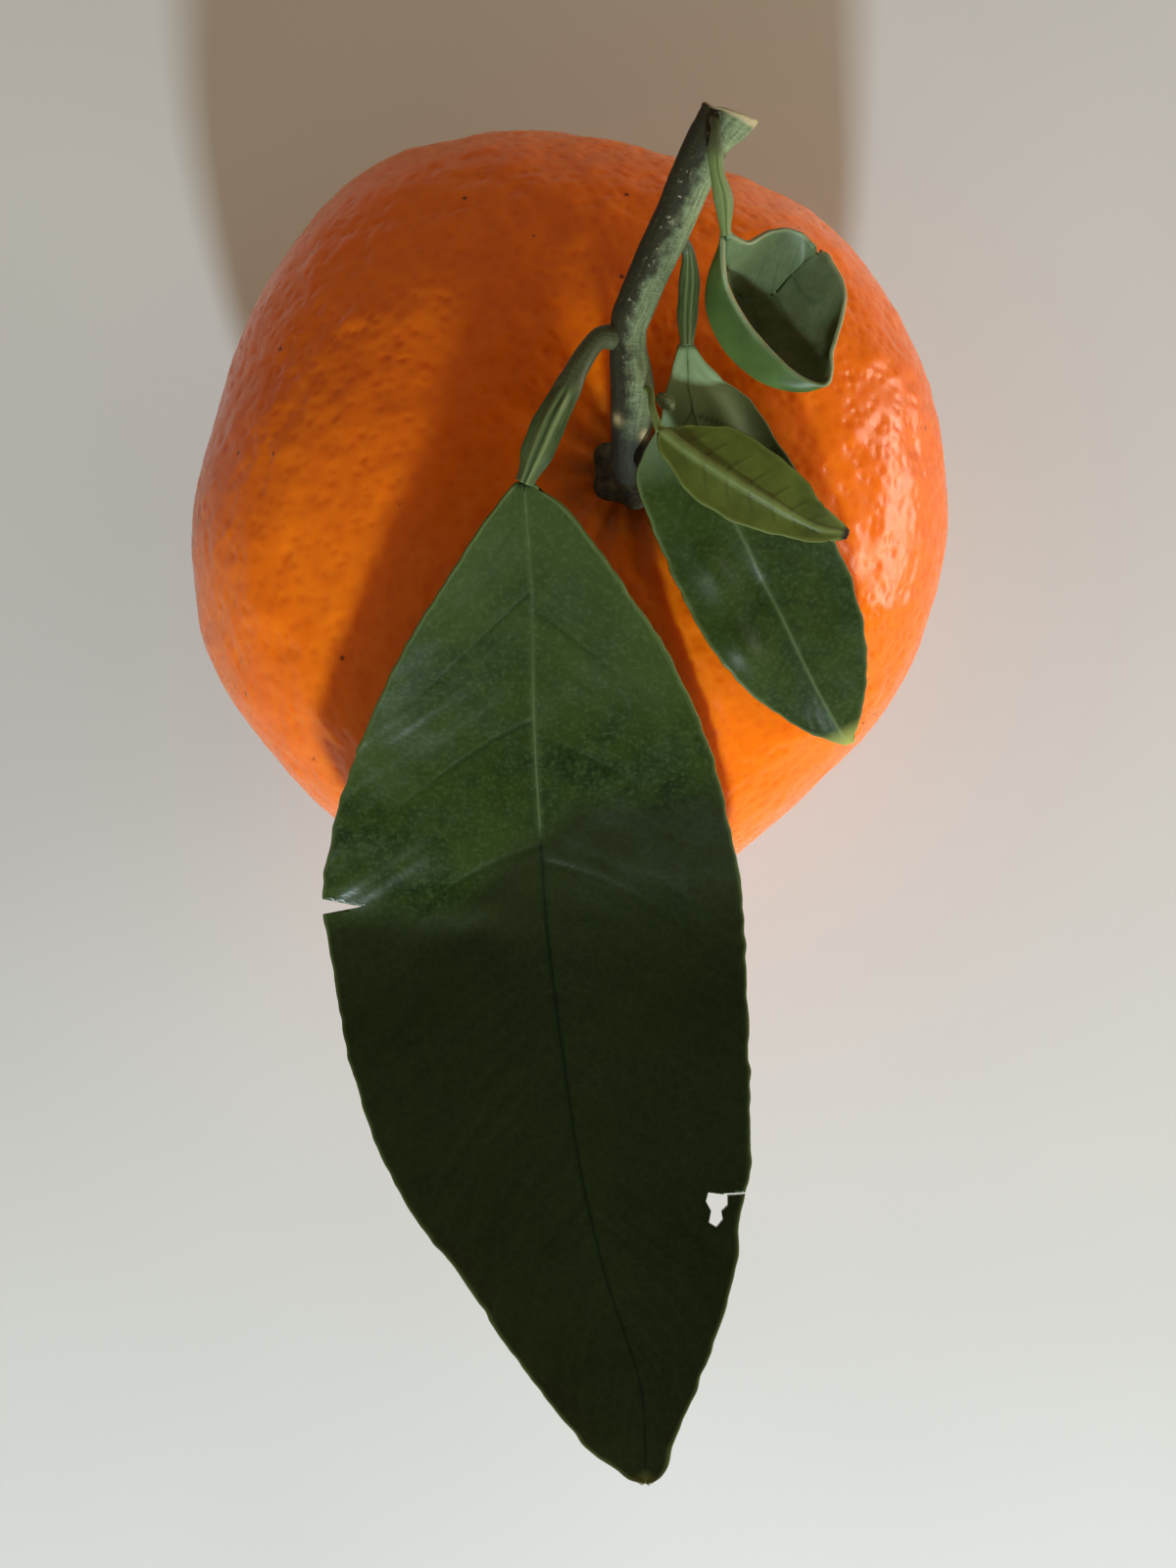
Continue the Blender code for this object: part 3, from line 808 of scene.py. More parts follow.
def bark_radius(radius, fibre, length, turn):
    """The twig's plain radius with its furrows, lumps, swellings and flared end added."""
    furrows = FURROW_MEAN
    for n, (size, depth) in enumerate(TWIG_FURROWS):
        furrows = furrows + depth * noise(fibre * np.array(FURROW_STRETCH), size, SEED + 30 + n)
    radius = radius * furrows
    for n, (size, height) in enumerate(TWIG_LUMPS):
        radius = radius + height * noise(fibre, size, SEED + 32 + n)
    for place, reach, facing, height in TWIG_SWELLINGS:
        swelling = np.exp(-(((length - place) / reach) ** 2)) * np.cos(turn - facing)
        radius = radius + height * np.clip(swelling, 0, 1)
    flare = smooth_step(length, TWIG_FLARE_FROM, 1.0) * np.clip(np.cos(turn), 0, 1) ** 2
    return radius + TWIG_FLARE * flare


def cut_face(rim, forward, turn):
    """Rings from the rim of the cut over its wood and down into the pith."""
    middle = rim.mean(axis=0)
    saw_marks = SAW_MARK_DEPTH * np.sin(SAW_MARKS * turn)[:, None]
    rings = []
    for share in CUT_STEPS:
        hollow = WOOD_HOLLOW if share > PITH_STEP else PITH_HOLLOW
        rings.append(middle + (rim - middle) * share - forward * (hollow + saw_marks))
    return np.array(rings)


def make_twig(material):
    """The twig: furrowed bark that swells at the nodes, and a slanting cut with pith in it."""
    stations, corners = TWIG_GRID
    line = along(TWIG_PATH, stations)
    forward = square_frames(line[:, :3])[0]
    turn = full_turn(corners)
    length = np.linspace(0.0, 1.0, stations)[:, None]
    around = (np.cos(turn) * FIBRE_RADIUS + 0 * length, np.sin(turn) * FIBRE_RADIUS + 0 * length)
    fibre = np.stack([*around, length * TWIG_LENGTH + 0 * turn], axis=-1)
    radius = bark_radius(line[:, 3:4] * np.ones(corners), fibre, length, turn)
    rings = rings_about(line[:, :3], radius * np.cos(turn), radius * np.sin(turn))
    size, height = CUT_ROUGHNESS
    slant = CUT_SLANT * radius[-1] * np.cos(turn) + height * noise(rings[-1], size, SEED + 34) - CUT_BACK
    for back in range(1, 1 + CUT_RINGS):
        rings[-back] += forward[-back] * (slant * (1 - (back - 1) / CUT_RINGS))[:, None]

    rings = np.concatenate([rings, cut_face(rings[-1], forward[-1], turn)])
    fibre = np.concatenate([fibre, fibre[-1:].repeat(len(CUT_STEPS), axis=0)])
    piece = loft("twig_bark", rings, fibre)
    cut = np.zeros(rings.shape[:2])
    cut[stations:] = 1.0
    cut[stations - RIM_RINGS : stations] = RIM_SHARE
    keep_value(piece, "cut", cut)
    pith = np.zeros(rings.shape[:2])
    pith[-PITH_RINGS:] = 1.0
    keep_value(piece, "pith", pith)
    scar = sum(
        np.exp(-((np.linalg.norm(rings - place, axis=-1) / size) ** 2))
        for place, size in TWIG_SCARS
    )
    keep_value(piece, "scar", np.clip(scar, 0, 1))
    place_piece(piece, "twig", material)


def make_bud(material):
    """The bud in the leaf's corner: a few scales drawn to a blunt point."""
    stations, corners = BUD_GRID
    line = along(BUD_PATH, stations)
    turn = full_turn(corners)
    count, height, twist = BUD_SCALES
    scales = 1.0 + height * np.cos(count * turn + np.linspace(0, twist, stations)[:, None])
    sideways = line[:, 3, None] * scales * np.cos(turn)
    raised = line[:, 4, None] * scales * np.sin(turn)
    rings = rings_about(line[:, :3], sideways, raised)
    piece = loft("bud_scales", rings, rings)
    for name in ("cut", "pith", "scar"):
        keep_value(piece, name, np.zeros(rings.shape[:2]))
    place_piece(piece, "axillary_bud", material)


def near(side, place, width):
    """1 at a place across a stalk, fading over a width on both sides of it."""
    return np.exp(-(((side - place) / width) ** 2))


def stalk_section(side, height, winged, channelled):
    """How high the outline of a stalk stands: thin wings over a keel, and a channel between two ribs."""
    keel = WING_THICK + (1 - WING_THICK) * near(side, 0.0, KEEL_WIDTH)
    profile = height * (1 - winged + winged * keel)
    channel = near(side, 0.0, CHANNEL_WIDTH) - 0.5 * near(np.abs(side), RIB_PLACE, CHANNEL_WIDTH)
    deep = CHANNEL_DEPTH * np.clip(winged + 0.25, 0, 1)
    return profile - np.clip(height, 0, 1) * channel * deep * channelled


def stalk_path(leaf):
    """Stations along a stalk, from inside the twig to a little way into the blade."""
    path = np.array((leaf["root"], *leaf["stalk"]))
    step = path[-1] - path[-2]
    past_end = path[-1] + STALK_REACH * step / np.linalg.norm(step[:3])
    past_end[3:] = path[-1, 3:]
    return along(np.vstack([path, past_end]), STALK_GRID[0])


def make_stalk(name, leaf, material):
    """A leaf stalk: a rounded keel below, and a channel between two ribs and thin wings above."""
    stations, corners = STALK_GRID
    line = stalk_path(leaf)
    turn = full_turn(corners)
    side, height = np.cos(turn), np.sin(turn)
    wide, thick = line[:, 3:4], line[:, 4:5]
    length = np.linspace(0.0, 1.0, stations)[:, None]
    channelled = smooth_step(length, leaf["channel_from"], leaf["channel_from"] + CHANNEL_RISE)
    winged = smooth_step(wide, *WINGED_WIDTHS) * channelled
    profile = stalk_section(side, height, winged, channelled)

    run = length * np.linalg.norm(np.diff(line[:, :3], axis=0), axis=1).sum()
    fibre = np.stack([side + 0 * run, height + 0 * run, run + 0 * side], axis=-1)
    close, ring_height = STALK_RINGS
    size, bend = STALK_RING_BENDS
    ring_phase = run * close + bend * noise(fibre, size, SEED + 42)
    ring_wrinkles = ring_height * (1 - channelled) * np.sin(ring_phase)
    size, fibre_height = STALK_FIBRES
    fibres = fibre_height * noise(fibre * np.array(STALK_STRETCH), size, SEED + 40)
    ripple = 1.0 + ring_wrinkles + fibres * (1 - 0.5 * np.abs(side))
    size, depth = STALK_EDGE_WEAR
    edge = 1.0 + depth * noise(fibre, size, SEED + 41) * np.abs(side)
    rings = rings_about(line[:, :3], wide * side * edge, thick * profile * ripple)
    piece = loft(name + "_petiole", rings, fibre)

    above = np.clip(height, 0, 1)
    everywhere = 0 * run * side
    keep_value(piece, "rib", above * near(np.abs(side), RIB_PLACE, RIB_WIDTH) * channelled)
    keep_value(piece, "wing", smooth_step(np.abs(side), *WING_EDGE) * winged + everywhere)
    keep_value(piece, "groove", above * near(side, 0.0, GROOVE_WIDTH) * channelled)
    keep_value(piece, "woody", leaf["woody"] * (1 - channelled) + everywhere)
    keep_value(piece, "fresh", leaf["fresh"] + everywhere)
    place_piece(piece, name + "_stalk", material)


# ================= Leaf blades =================


def blade_points(leaf, rows, columns):
    """A grid of points over a blade, from its left edge over the midrib to its right edge."""
    midrib = along(leaf["midrib"], rows)
    forward = unit(np.gradient(midrib, axis=0))
    share = np.linspace(0.0, 1.0, columns + 1)[None, :, None]
    halves = []
    for side, turned in (("left", 1.0), ("right", -1.0)):
        edge = along(leaf[side], rows)
        across = edge - midrib
        upward = turned * np.cross(forward, across)
        belly = (midrib + edge) / 2 + leaf["bow"] * upward
        if side + "_belly" in leaf:
            belly = along(leaf[side + "_belly"], rows)
        halves.append(
            midrib[:, None] * (1 - share) * (1 - 2 * share)
            + belly[:, None] * 4 * share * (1 - share)
            + edge[:, None] * share * (2 * share - 1)
        )
    return np.concatenate([halves[0][:, :0:-1], halves[1]], axis=1)


def midrib_length(leaf):
    """How long a blade's midrib is, in mm."""
    return np.linalg.norm(np.diff(np.array(leaf["midrib"]), axis=0), axis=1).sum()


def vein_pattern(leaf, u, v, mm_across):
    """How strongly each point of a blade lies on its midrib and on a side vein."""
    out = np.abs(v)
    tip_width, base_width, taper = MIDRIB_LINE
    rib_width = base_width * (1 - taper * u) + tip_width
    midrib = np.exp(-((mm_across / rib_width) ** 2))
    veins = np.zeros_like(u)
    for side, offset in ((-1, 0.0), (1, VEIN_OFFSET)):
        for start in leaf["veins"]:
            reach = VEIN_REACH - 0.10 * start
            path = start + offset + (VEIN_SWEEP * out + VEIN_SWEEP * out**2) * (1 - 0.5 * start)
            away = (u - path) * midrib_length(leaf) * VEIN_SLANT
            width = leaf["vein_width"] * (1 - 0.5 * out)
            line = np.exp(-((away / width) ** 2)) * (1 - smooth_step(out, reach - VEIN_FADE, reach))
            veins = np.maximum(veins, line * (v * side > 0))
    return midrib, veins


def wave_lift(leaf, points, u, v):
    """The soft unevenness of a grown blade: quilted, streaked, buckled and waved at its edges."""
    depth, size = leaf["waves"]
    broad = noise(points, size * BROAD_WAVE, SEED + 50) * depth * smooth_step(np.abs(v), 0.05, 0.8)
    quilt = noise(points, size, SEED + 51) * depth * QUILT_SHARE
    down_leaf = (u - STREAK_LEAN * np.abs(v)) * midrib_length(leaf) / STREAK_WIDTH
    streak_place = np.stack([down_leaf, v * STREAK_ROWS, 0.0 * u], axis=-1)
    streaks = STREAK_DEPTH * noise(streak_place, 1.0, SEED + 53)
    buckle = 0.0
    for at_u, at_v, size_u, size_v, height in leaf["buckles"]:
        buckle = buckle + height * np.exp(-(((u - at_u) / size_u) ** 2) - ((v - at_v) / size_v) ** 2)
    start, end = BLADE_ENDS
    fade = smooth_step(u, 0.0, start) * (1 - smooth_step(u, end, 1.0))
    return (broad + (quilt + streaks) + buckle) * fade


def tear_cutters(tears):
    """Upright prisms where pieces are torn out of the blade."""
    low, high = TEAR_HEIGHTS
    cutters = []
    for name, outline in tears.items():
        shape = bmesh.new()
        floor = shape.faces.new([shape.verts.new((x * MM, y * MM, low * MM)) for x, y in outline])
        raised = bmesh.ops.extrude_face_region(shape, geom=[floor])
        moved = [item for item in raised["geom"] if isinstance(item, bmesh.types.BMVert)]
        bmesh.ops.translate(shape, verts=moved, vec=(0.0, 0.0, (high - low) * MM))
        bmesh.ops.recalc_face_normals(shape, faces=shape.faces)
        mesh = bpy.data.meshes.new(name)
        shape.to_mesh(mesh)
        shape.free()
        cutter = bpy.data.objects.new(name, mesh)
        bpy.context.scene.collection.objects.link(cutter)
        cutters.append(cutter)
    return cutters


def apply_modifiers(piece):
    """Keeps the evaluated shape as the piece's own mesh."""
    graph = bpy.context.evaluated_depsgraph_get()
    shown = piece.evaluated_get(graph)
    made = bpy.data.meshes.new_from_object(shown, preserve_all_data_layers=True, depsgraph=graph)
    piece.modifiers.clear()
    piece.data = made


def scallop_edges(points, v, columns):
    """The same blade with its edges finely scalloped towards the midrib."""
    size, depth = SCALLOP
    scallop = depth * noise(points, size, SEED + 52) * smooth_step(np.abs(v), SCALLOP_FROM, 1.0)
    inward = unit(points[:, columns : columns + 1] - points)
    inward[:, columns] = 0.0
    return points + inward * scallop[..., None]


def thicken(piece, ridge):
    """Gives a sheet its thickness, and more of it along the ridge of the midrib."""
    group = piece.vertex_groups.new(name="rib")
    for n in np.flatnonzero(ridge.ravel() > RIB_LEAST):
        group.add([int(n)], float(ridge.ravel()[n]), "REPLACE")
    thickness = piece.modifiers.new("thickness", "SOLIDIFY")
    thickness.thickness = MIDRIB_THICK * MM
    thickness.vertex_group = "rib"
    thickness.thickness_vertex_group = BLADE_THICK / MIDRIB_THICK
    thickness.offset = 0.0


def cut_tears(piece, tears):
    """Cuts the tears out of a blade, and keeps the result as its mesh."""
    cutters = tear_cutters(tears)
    for cutter in cutters:
        cut = piece.modifiers.new(cutter.name, "BOOLEAN")
        cut.operation = "DIFFERENCE"
        cut.solver = "EXACT"
        cut.object = cutter
    apply_modifiers(piece)
    for cutter in cutters:
        bpy.data.objects.remove(cutter, do_unlink=True)


def mark_underside(piece, points, upward):
    """Marks the corners that lie below the middle of the blade."""
    corners = np.array([vertex.co for vertex in piece.data.vertices]) / MM
    _, which = nearest(corners, points)
    height = ((corners - points[which]) * upward[which]).sum(axis=1)
    keep_value(piece, "underside", height < 0.0)


def make_blade(name, leaf, material):
    """A leaf blade with sunk veins, quilting, a finely scalloped edge and its tears."""
    rows, columns = leaf["grid"]
    wide = 2 * columns + 1
    points = blade_points(leaf, rows, columns)
    u = np.broadcast_to(np.linspace(0.0, 1.0, rows)[:, None], (rows, wide))
    v = np.broadcast_to(np.linspace(-1.0, 1.0, wide), (rows, wide))
    steps = np.linalg.norm(np.diff(points, axis=1), axis=2)
    run = np.concatenate([np.zeros((rows, 1)), np.cumsum(steps, axis=1)], axis=1)
    mm_across = run - run[:, columns : columns + 1]
    points = scallop_edges(points, v, columns)

    normal = np.cross(np.gradient(points, axis=1), np.gradient(points, axis=0))
    upward = unit(normal) * (-1 if leaf["flip"] else 1)
    midrib, veins = vein_pattern(leaf, u, v, mm_across)
    relief = leaf["relief"] * (1 - leaf["worn"] * smooth_step(u, *WORN_FROM))
    ridge = leaf["rib"] * np.exp(-((mm_across / (MIDRIB_REACH * leaf["rib"])) ** 2)) * (1 - MIDRIB_TAPER * u)
    lift = wave_lift(leaf, points, u, v) - relief * (MIDRIB_SINK * midrib + veins)
    lift = lift - ridge * (MIDRIB_THICK - BLADE_THICK) / 2
    points = points + upward * lift[..., None]
    points[0] -= BLADE_REACH * unit(points[1] - points[0])

    faces = grid_faces(rows, wide, closed=False)
    if leaf["flip"]:
        faces = faces[:, ::-1]
    piece = add_piece(name + "_sheet", points.reshape(-1, 3), faces)
    rim = np.minimum(run, run[:, -1:] - run)
    kept = {"midrib": midrib, "vein": veins, "edge": 1 - smooth_step(rim, *RIM_LINE), "along": u, "across": v}
    for title, values in kept.items():
        keep_value(piece, title, values)
    thicken(piece, ridge)
    cut_tears(piece, leaf["tears"])
    mark_underside(piece, points.reshape(-1, 3), upward.reshape(-1, 3))
    place_piece(piece, name + "_blade", material)


# ================= Materials =================


class Nodes:
    """Short calls for building one material's node tree."""

    def __init__(self, name):
        self.material = bpy.data.materials.new(name)
        self.material.use_nodes = True
        self.tree = self.material.node_tree
        self.shader = self.tree.nodes["Principled BSDF"]
        self.place = self.add("ShaderNodeTexCoord").outputs["Object"]

    def add(self, kind, **settings):
        """A new node with its settings."""
        node = self.tree.nodes.new(kind)
        for name, value in settings.items():
            setattr(node, name, value)
        return node

    def feed(self, socket, value):
        """Links a socket to another, or sets its value."""
        if isinstance(value, bpy.types.NodeSocket):
            self.tree.links.new(value, socket)
        else:
            socket.default_value = value

    def kept(self, name, output="Fac"):
        """The number, or the Vector, kept in the mesh under this name."""
        return self.add("ShaderNodeAttribute", attribute_name=name).outputs[output]

    def stretched(self, vector, scale):
        """The same coordinates, scaled along each axis."""
        node = self.add("ShaderNodeMapping")
        self.feed(node.inputs["Vector"], vector)
        node.inputs["Scale"].default_value = scale
        return node.outputs[0]

    def noise(self, scale, detail=3.0, rough=0.55, vector=None):
        """Cloudy noise, scale in lumps per metre."""
        node = self.add("ShaderNodeTexNoise")
        self.feed(node.inputs["Vector"], vector or self.place)
        node.inputs["Scale"].default_value = scale
        node.inputs["Detail"].default_value = detail
        node.inputs["Roughness"].default_value = rough
        return node.outputs["Fac"]

    def math(self, kind, first, second=0.5, third=None):
        """One sum."""
        node = self.add("ShaderNodeMath", operation=kind)
        self.feed(node.inputs[0], first)
        self.feed(node.inputs[1], second)
        if third is not None:
            self.feed(node.inputs[2], third)
        return node.outputs[0]

    def span(self, value, low, high, new_low=0.0, new_high=1.0):
        """A value moved from one span to another, and kept inside it."""
        node = self.add("ShaderNodeMapRange", clamp=True)
        for socket, number in zip(node.inputs, (value, low, high, new_low, new_high)):
            self.feed(socket, number)
        return node.outputs[0]

    def mix(self, share, first, second):
        """Two colours mixed by a share."""
        node = self.add("ShaderNodeMix", data_type="RGBA")
        self.feed(node.inputs["Factor"], share)
        for socket, colour in zip(node.inputs[6:8], (first, second)):
            self.feed(socket, colour if isinstance(colour, bpy.types.NodeSocket) else (*colour, 1.0))
        return node.outputs[2]

    def tint(self, colour, share, amount, tone):
        """A colour drawn towards a tone, by an amount of a share."""
        return self.mix(self.math("MULTIPLY", share, amount), colour, tone)

    def bump(self, height, distance, strength=1.0, normal=None):
        """A bump of this many metres for a height from 0 to 1."""
        node = self.add("ShaderNodeBump")
        self.feed(node.inputs["Height"], height)
        node.inputs["Distance"].default_value = distance
        node.inputs["Strength"].default_value = strength
        if normal is not None:
            self.feed(node.inputs["Normal"], normal)
        return node.outputs["Normal"]

    def set(self, **values):
        """Sets or links the shader's own sockets, by name with _ for a space."""
        for name, value in values.items():
            self.feed(self.shader.inputs[name.replace("_", " ")], value)


def peel_material():
    """Orange peel: red-orange with yellower clouds, darker oil glands, specks, and a stem end darkened partly
    by its stain and partly by painted shade.
    """
    make = Nodes("mandarin_peel")
    tones = PEEL_TONES
    clouds = make.span(make.noise(38.0, 2.0), 0.38, 0.66)
    colour = make.mix(clouds, tones["deep"], tones["light"])
    mottle = make.span(make.noise(420.0, 4.0), 0.35, 0.7)
    colour = make.tint(colour, mottle, 0.35, tones["mottle"])
    colour = make.tint(colour, make.kept("pore"), 0.15, tones["pore"])
    # The stem end darkens: partly its own stain, partly painted shade under the twig and leaves.
    patches = make.span(make.noise(500.0, 3.0), 0.25, 0.6, 0.35, 1.0)
    stain_and_shade = make.math("MULTIPLY", make.kept("stem_stain_and_shade"), patches)
    colour = make.tint(colour, stain_and_shade, 0.9, tones["stain_and_shade"])
    colour = make.mix(make.span(make.kept("speck"), 0.35, 0.75, 0.0, 0.92), colour, tones["speck"])
    make.set(
        Base_Color=colour,
        Roughness=make.span(make.noise(900.0, 3.0), 0.3, 0.7, 0.20, 0.30),
        Normal=make.bump(make.noise(5200.0, 2.0), 0.00003, 0.5),
        IOR=1.40,
        Specular_IOR_Level=0.29,
        Subsurface_Weight=0.6,
        Subsurface_Scale=0.0035,
        Subsurface_Radius=(1.0, 0.32, 0.08),
    )
    return make.material


def calyx_material():
    """The dry brown-green button, darkened nearly to black by painted shade under the twig and the side leaf.
    """
    make = Nodes("dry_calyx_painted_shade")
    patches = make.span(make.noise(1500.0, 4.0), 0.35, 0.65)
    colour = make.mix(patches, CALYX_TONES["dark"], CALYX_TONES["light"])
    make.set(Base_Color=colour, Roughness=0.85, Normal=make.bump(make.noise(3500.0, 4.0), 0.0001))
    return make.material


def bark_material():
    """Young bark: grey-green above, with near-black painted shade on one side and at the foot, pale where it
    is cut.
    """
    make = Nodes("twig_bark")
    tones = BARK_TONES
    fibre = make.kept("fibre", "Vector")
    axes = make.add("ShaderNodeSeparateXYZ")
    make.feed(axes.inputs[0], fibre)
    sideways, _, lengthwise = axes.outputs
    streaks = make.stretched(fibre, (1.0, 1.0, 0.12))
    lines = make.noise(3.6, 5.0, 0.65, streaks)
    wrinkles = make.noise(5.5, 3.0, 0.6, make.stretched(fibre, (0.45, 0.45, 1.8)))
    colour = make.mix(make.span(lines, 0.36, 0.64), tones["dark"], tones["light"])
    colour = make.mix(make.span(wrinkles, 0.50, 0.66, 0.0, 0.50), colour, tones["wrinkle"])

    # Painted shade: one side of the twig, more of it towards the cut end, is darkened to near black where it
    # faces away from the light.
    patches = make.span(make.noise(1.1, 4.0, 0.6, fibre), 0.3, 0.7, -0.5, 0.5)
    left = make.math("SUBTRACT", make.math("MULTIPLY", sideways, -1.0), patches)
    left = make.math("ADD", left, make.span(lengthwise, 7.0, 18.0, -0.45, 0.40))
    colour = make.mix(make.span(left, -0.55, 0.25, 0.0, 0.94), colour, tones["brown"])
    flecks = make.span(make.noise(2.6, 4.0, 0.7, fibre), 0.615, 0.67)
    off_ridge = make.math("ABSOLUTE", make.math("ADD", sideways, 0.25))
    on_ridge = make.span(off_ridge, 0.75, 0.10, 0.10, 0.65)
    colour = make.mix(make.math("MULTIPLY", flecks, on_ridge), colour, tones["fleck"])
    cracks = make.span(make.noise(2.1, 4.0, 0.7, streaks), 0.62, 0.70)
    colour = make.tint(colour, cracks, 0.6, tones["crack"])
    # Painted shade: the foot of the twig darkens to near black under the side leaf.
    colour = make.mix(make.span(lengthwise, 6.0, 3.2, 0.0, 0.95), colour, tones["foot"])
    colour = make.mix(make.kept("cut"), colour, tones["wood"])
    colour = make.mix(make.kept("pith"), colour, tones["pith"])
    colour = make.tint(colour, make.kept("scar"), 0.9, tones["scar"])
    normal = make.bump(wrinkles, 0.00005, 0.8, make.bump(lines, 0.00008))
    make.set(Base_Color=colour, Roughness=0.7, Normal=normal, Specular_IOR_Level=0.25)
    return make.material


def stalk_material():
    """Green stalk with paler ribs, a dark channel, dark wings and a woody foot."""
    make = Nodes("leaf_stalk")
    tones = STALK_TONES
    lines = make.noise(5.0, 4.0, 0.6, make.stretched(make.kept("fibre", "Vector"), (1.0, 1.0, 0.15)))
    colour = make.mix(make.span(lines, 0.35, 0.65), tones["dark"], tones["light"])
    shares = {"rib": 0.7, "fresh": 0.75, "woody": 0.8, "wing": 0.85, "groove": 0.6}
    for name, amount in shares.items():
        colour = make.tint(colour, make.kept(name), amount, tones[name])
    normal = make.bump(lines, 0.00005)
    make.set(Base_Color=colour, Roughness=0.42, Normal=normal, Specular_IOR_Level=0.25)
    return make.material


def leaf_net(make):
    """The fine net of the smallest veins, 1 on its lines."""
    net = make.add("ShaderNodeTexVoronoi", feature="DISTANCE_TO_EDGE")
    make.feed(net.inputs["Vector"], make.place)
    net.inputs["Scale"].default_value = 1150.0
    return make.span(net.outputs["Distance"], 0.0, 0.16, 1.0, 0.0)


def upper_colour(make, tones, along_leaf, net):
    """The upper side: cloudy green, paler at its base (a painted highlight on the side leaf), darkened past
    its bend by painted shade, with net, veins and midrib.
    """
    clouds = make.span(make.noise(95.0, 4.0), 0.34, 0.66)
    colour = make.mix(clouds, tones["dark"], tones["light"])
    fine = make.span(make.noise(620.0, 4.0, 0.65), 0.40, 0.62, 0.0, 0.60)
    colour = make.mix(fine, colour, tones["light"])
    flecks = make.span(make.noise(2600.0, 2.0), 0.50, 0.68, 0.0, 0.40)
    colour = make.mix(flecks, colour, tones["fleck"])
    # Painted shade past the bend, starting a little earlier on the right half; veins and the pale midrib fade
    # inside it.
    rightwards = make.span(make.kept("across"), -0.40, 0.20, 0.0, 0.10)
    ragged = make.math("MULTIPLY_ADD", clouds, 0.03, make.math("ADD", rightwards, along_leaf))
    painted_shade = make.span(ragged, *tones["painted_shade_from"], 0.0, tones["painted_shade_share"])
    outside_painted_shade = make.span(painted_shade, 0.0, 0.8, 1.0, 0.0)
    colour = make.mix(painted_shade, colour, tones["painted_shade"])
    # paler towards the base; on the side leaf most of this is painted light
    colour = make.mix(make.span(along_leaf, 0.28, 0.06, 0.0, tones["base_share"]), colour, tones["base"])
    colour = make.tint(colour, net, 0.03, tones["midrib"])
    vein = make.math("MULTIPLY", make.kept("vein"), tones["vein_share"])
    colour = make.tint(colour, vein, outside_painted_shade, tones["vein"])
    midrib = make.kept("midrib")
    colour = make.tint(colour, make.math("MULTIPLY", midrib, 0.75), outside_painted_shade, tones["midrib"])
    # inside the painted shade the midrib turns dark too
    return make.tint(colour, midrib, painted_shade, tones["painted_shade_midrib"])


def lower_colour(make, tones):
    """The underside: a paler cloudy green with its veins and its raised midrib."""
    deep = tuple(0.55 * part for part in tones["under"])
    colour = make.mix(make.span(make.noise(260.0, 4.0), 0.35, 0.65), deep, tones["under"])
    colour = make.tint(colour, make.kept("vein"), tones["under_vein_share"], tones["under_vein"])
    return make.tint(colour, make.kept("midrib"), 0.6, tones["under_midrib"])


def leaf_material(name, tones):
    """A waxy leaf with its two sides, thin pale edge and own tip."""
    make = Nodes(name)
    along_leaf = make.kept("along")
    net = leaf_net(make)
    upper = upper_colour(make, tones, along_leaf, net)
    colour = make.mix(make.kept("underside"), upper, lower_colour(make, tones))
    colour = make.tint(colour, make.kept("edge"), 0.5, tones["edge"])
    colour = make.mix(make.span(along_leaf, *tones["tip_from"]), colour, tones["tip"])
    rough = tones["rough"]
    normal = make.bump(make.math("MULTIPLY", net, -1.0), 0.000008, 0.25)
    make.set(
        Base_Color=colour,
        Roughness=make.span(make.noise(300.0, 4.0), 0.3, 0.7, rough - 0.04, rough + 0.08),
        Normal=make.bump(make.noise(1500.0, 3.0), 0.00002, 0.35, normal),
        IOR=1.42,
        Specular_IOR_Level=tones["gloss"],
        Subsurface_Weight=tones["through"],
        Subsurface_Scale=0.0008,
    )
    return make.material


def floor_material():
    """Pale matte paper."""
    make = Nodes("pale_floor")
    tone = make.span(make.noise(9.0, 3.0), 0.3, 0.7)
    colour = make.mix(tone, FLOOR_TONES["dark"], FLOOR_TONES["light"])
    make.set(Base_Color=colour, Roughness=0.9)
    return make.material


# ================= Stage, light and camera =================


def make_floor():
    """A plain pale floor a little under the fruit's base."""
    mesh = bpy.data.meshes.new("floor")
    signs = ((-1, -1), (1, -1), (1, 1), (-1, 1))
    corners = [(x * FLOOR_HALF * MM, y * FLOOR_HALF * MM, 0) for x, y in signs]
    mesh.from_pydata(corners, [], [(0, 1, 2, 3)])
    mesh.materials.append(floor_material())
    floor = bpy.data.objects.new("floor", mesh)
    floor.location.z = -FLOOR_DROP * MM
    bpy.context.scene.collection.objects.link(floor)


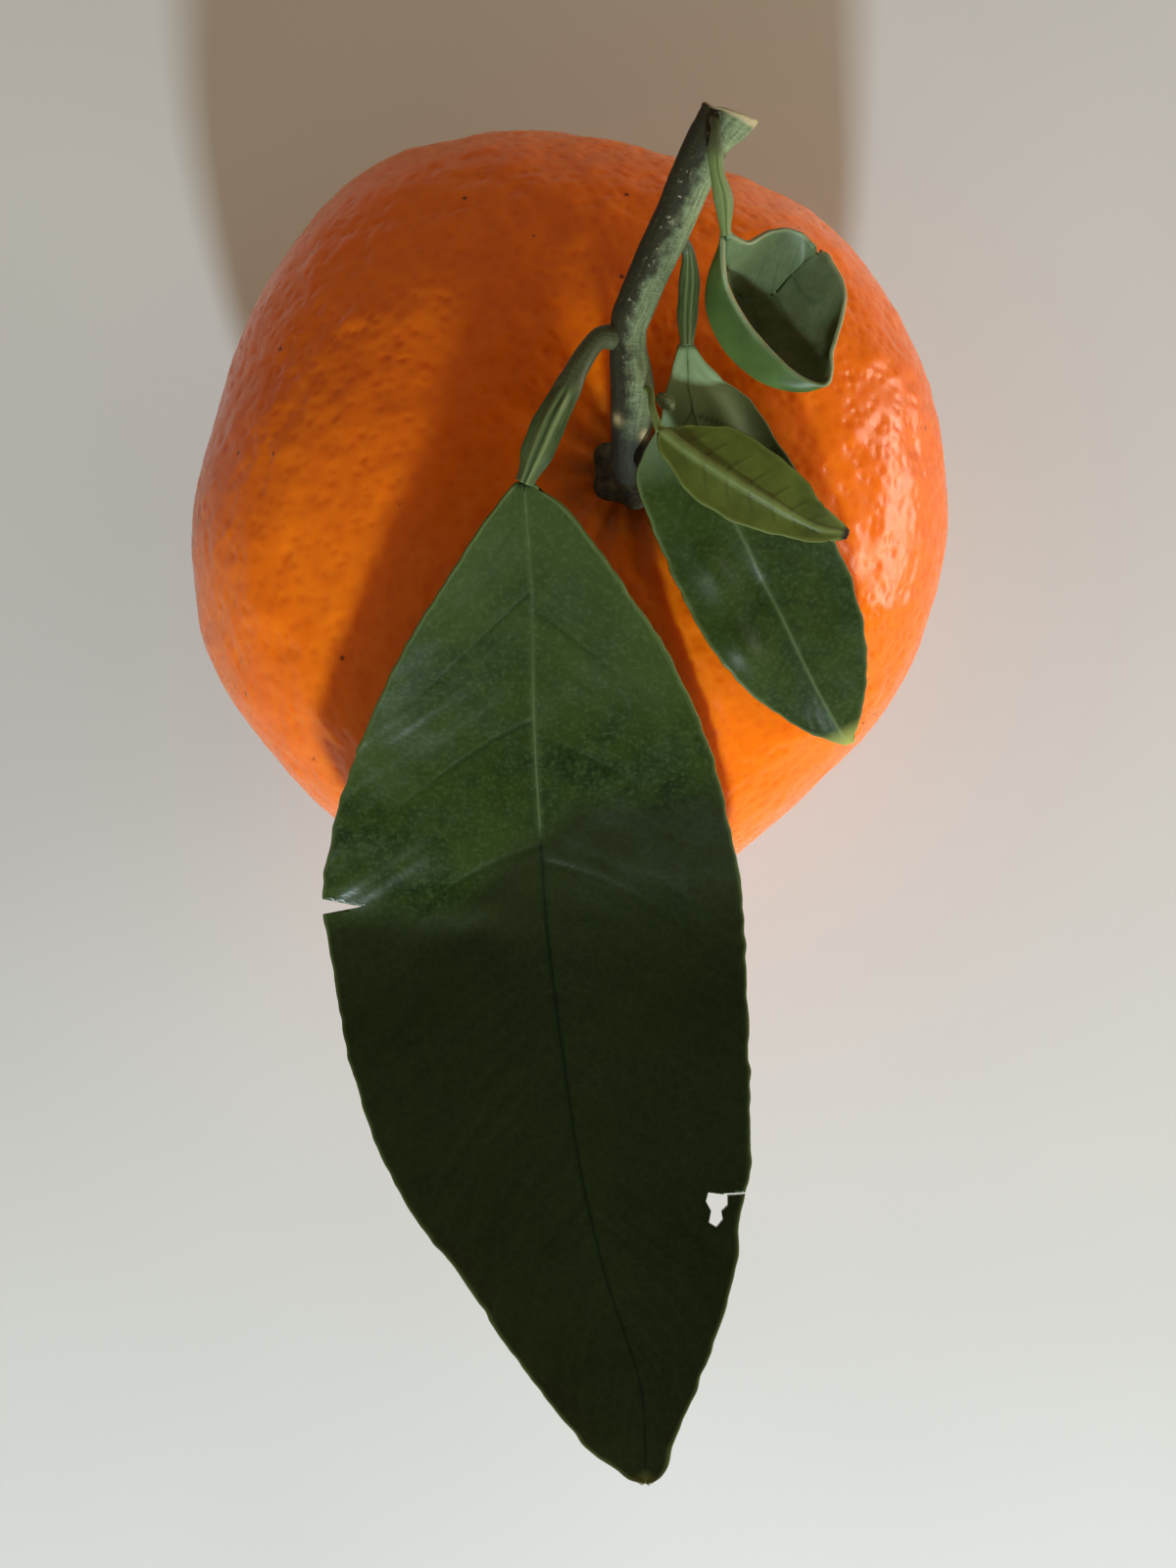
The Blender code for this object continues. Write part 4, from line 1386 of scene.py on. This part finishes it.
def add_area(name, place, target, size, power, colour):
    """A soft rectangular light at a place in mm, aimed at another."""
    light = bpy.data.lights.new(name, "AREA")
    light.shape = "RECTANGLE"
    light.size, light.size_y = size[0] * MM, size[1] * MM
    light.energy = power
    light.color = colour
    lamp = bpy.data.objects.new(name, light)
    bpy.context.scene.collection.objects.link(lamp)
    lamp.location = Vector(place) * MM
    lamp.rotation_mode = "QUATERNION"
    lamp.rotation_quaternion = (Vector(target) - Vector(place)).to_track_quat("-Z", "Y")


def make_lights():
    """A low cool key from -Y, a low window from +X, and a warm room that is dark straight overhead."""
    add_area("key", KEY_PLACE, KEY_TARGET, KEY_SIZE, KEY_POWER, KEY_COLOUR)
    add_area("window", WINDOW_PLACE, WINDOW_TARGET, WINDOW_SIZE, WINDOW_POWER, WINDOW_COLOUR)
    world = bpy.data.worlds.new("studio")
    world.use_nodes = True
    nodes = world.node_tree.nodes
    links = world.node_tree.links
    direction = nodes.new("ShaderNodeTexCoord")
    axes = nodes.new("ShaderNodeSeparateXYZ")
    ramp = nodes.new("ShaderNodeValToRGB")
    for n, (height, colour) in enumerate(ROOM_TONES):
        stop = ramp.color_ramp.elements[n] if n < 2 else ramp.color_ramp.elements.new(height)
        stop.position = height
        stop.color = (*colour, 1.0)
    links.new(direction.outputs["Generated"], axes.inputs[0])
    links.new(axes.outputs["Z"], ramp.inputs["Fac"])
    links.new(ramp.outputs["Color"], nodes["Background"].inputs["Color"])
    bpy.context.scene.world = world


def make_camera():
    """A camera straight above, at the distance from which the fruit was seen."""
    camera = bpy.data.cameras.new("camera")
    camera.lens = CAMERA_LENS
    camera.sensor_width = CAMERA_SENSOR
    camera.clip_start = CAMERA_NEAR * MM
    holder = bpy.data.objects.new("camera", camera)
    holder.location = Vector(CAMERA_PLACE) * MM
    bpy.context.scene.collection.objects.link(holder)
    bpy.context.scene.camera = holder


def main():
    """Builds every piece, then the floor, the light and the camera."""
    bark = bark_material()
    stalk = stalk_material()
    make_fruit(peel_material())
    make_calyx(calyx_material())
    make_twig(bark)
    make_bud(bark)
    for name, leaf in LEAVES.items():
        shape = {**LEAF_DEFAULTS, **leaf}
        tones = {**LEAF_TONES, **OWN_TONES[name]}
        make_stalk(name, shape, stalk)
        make_blade(name, shape, leaf_material(name + "_leaf", tones))
    make_floor()
    make_lights()
    make_camera()
    bpy.context.scene.view_settings.view_transform = "Standard"


main()
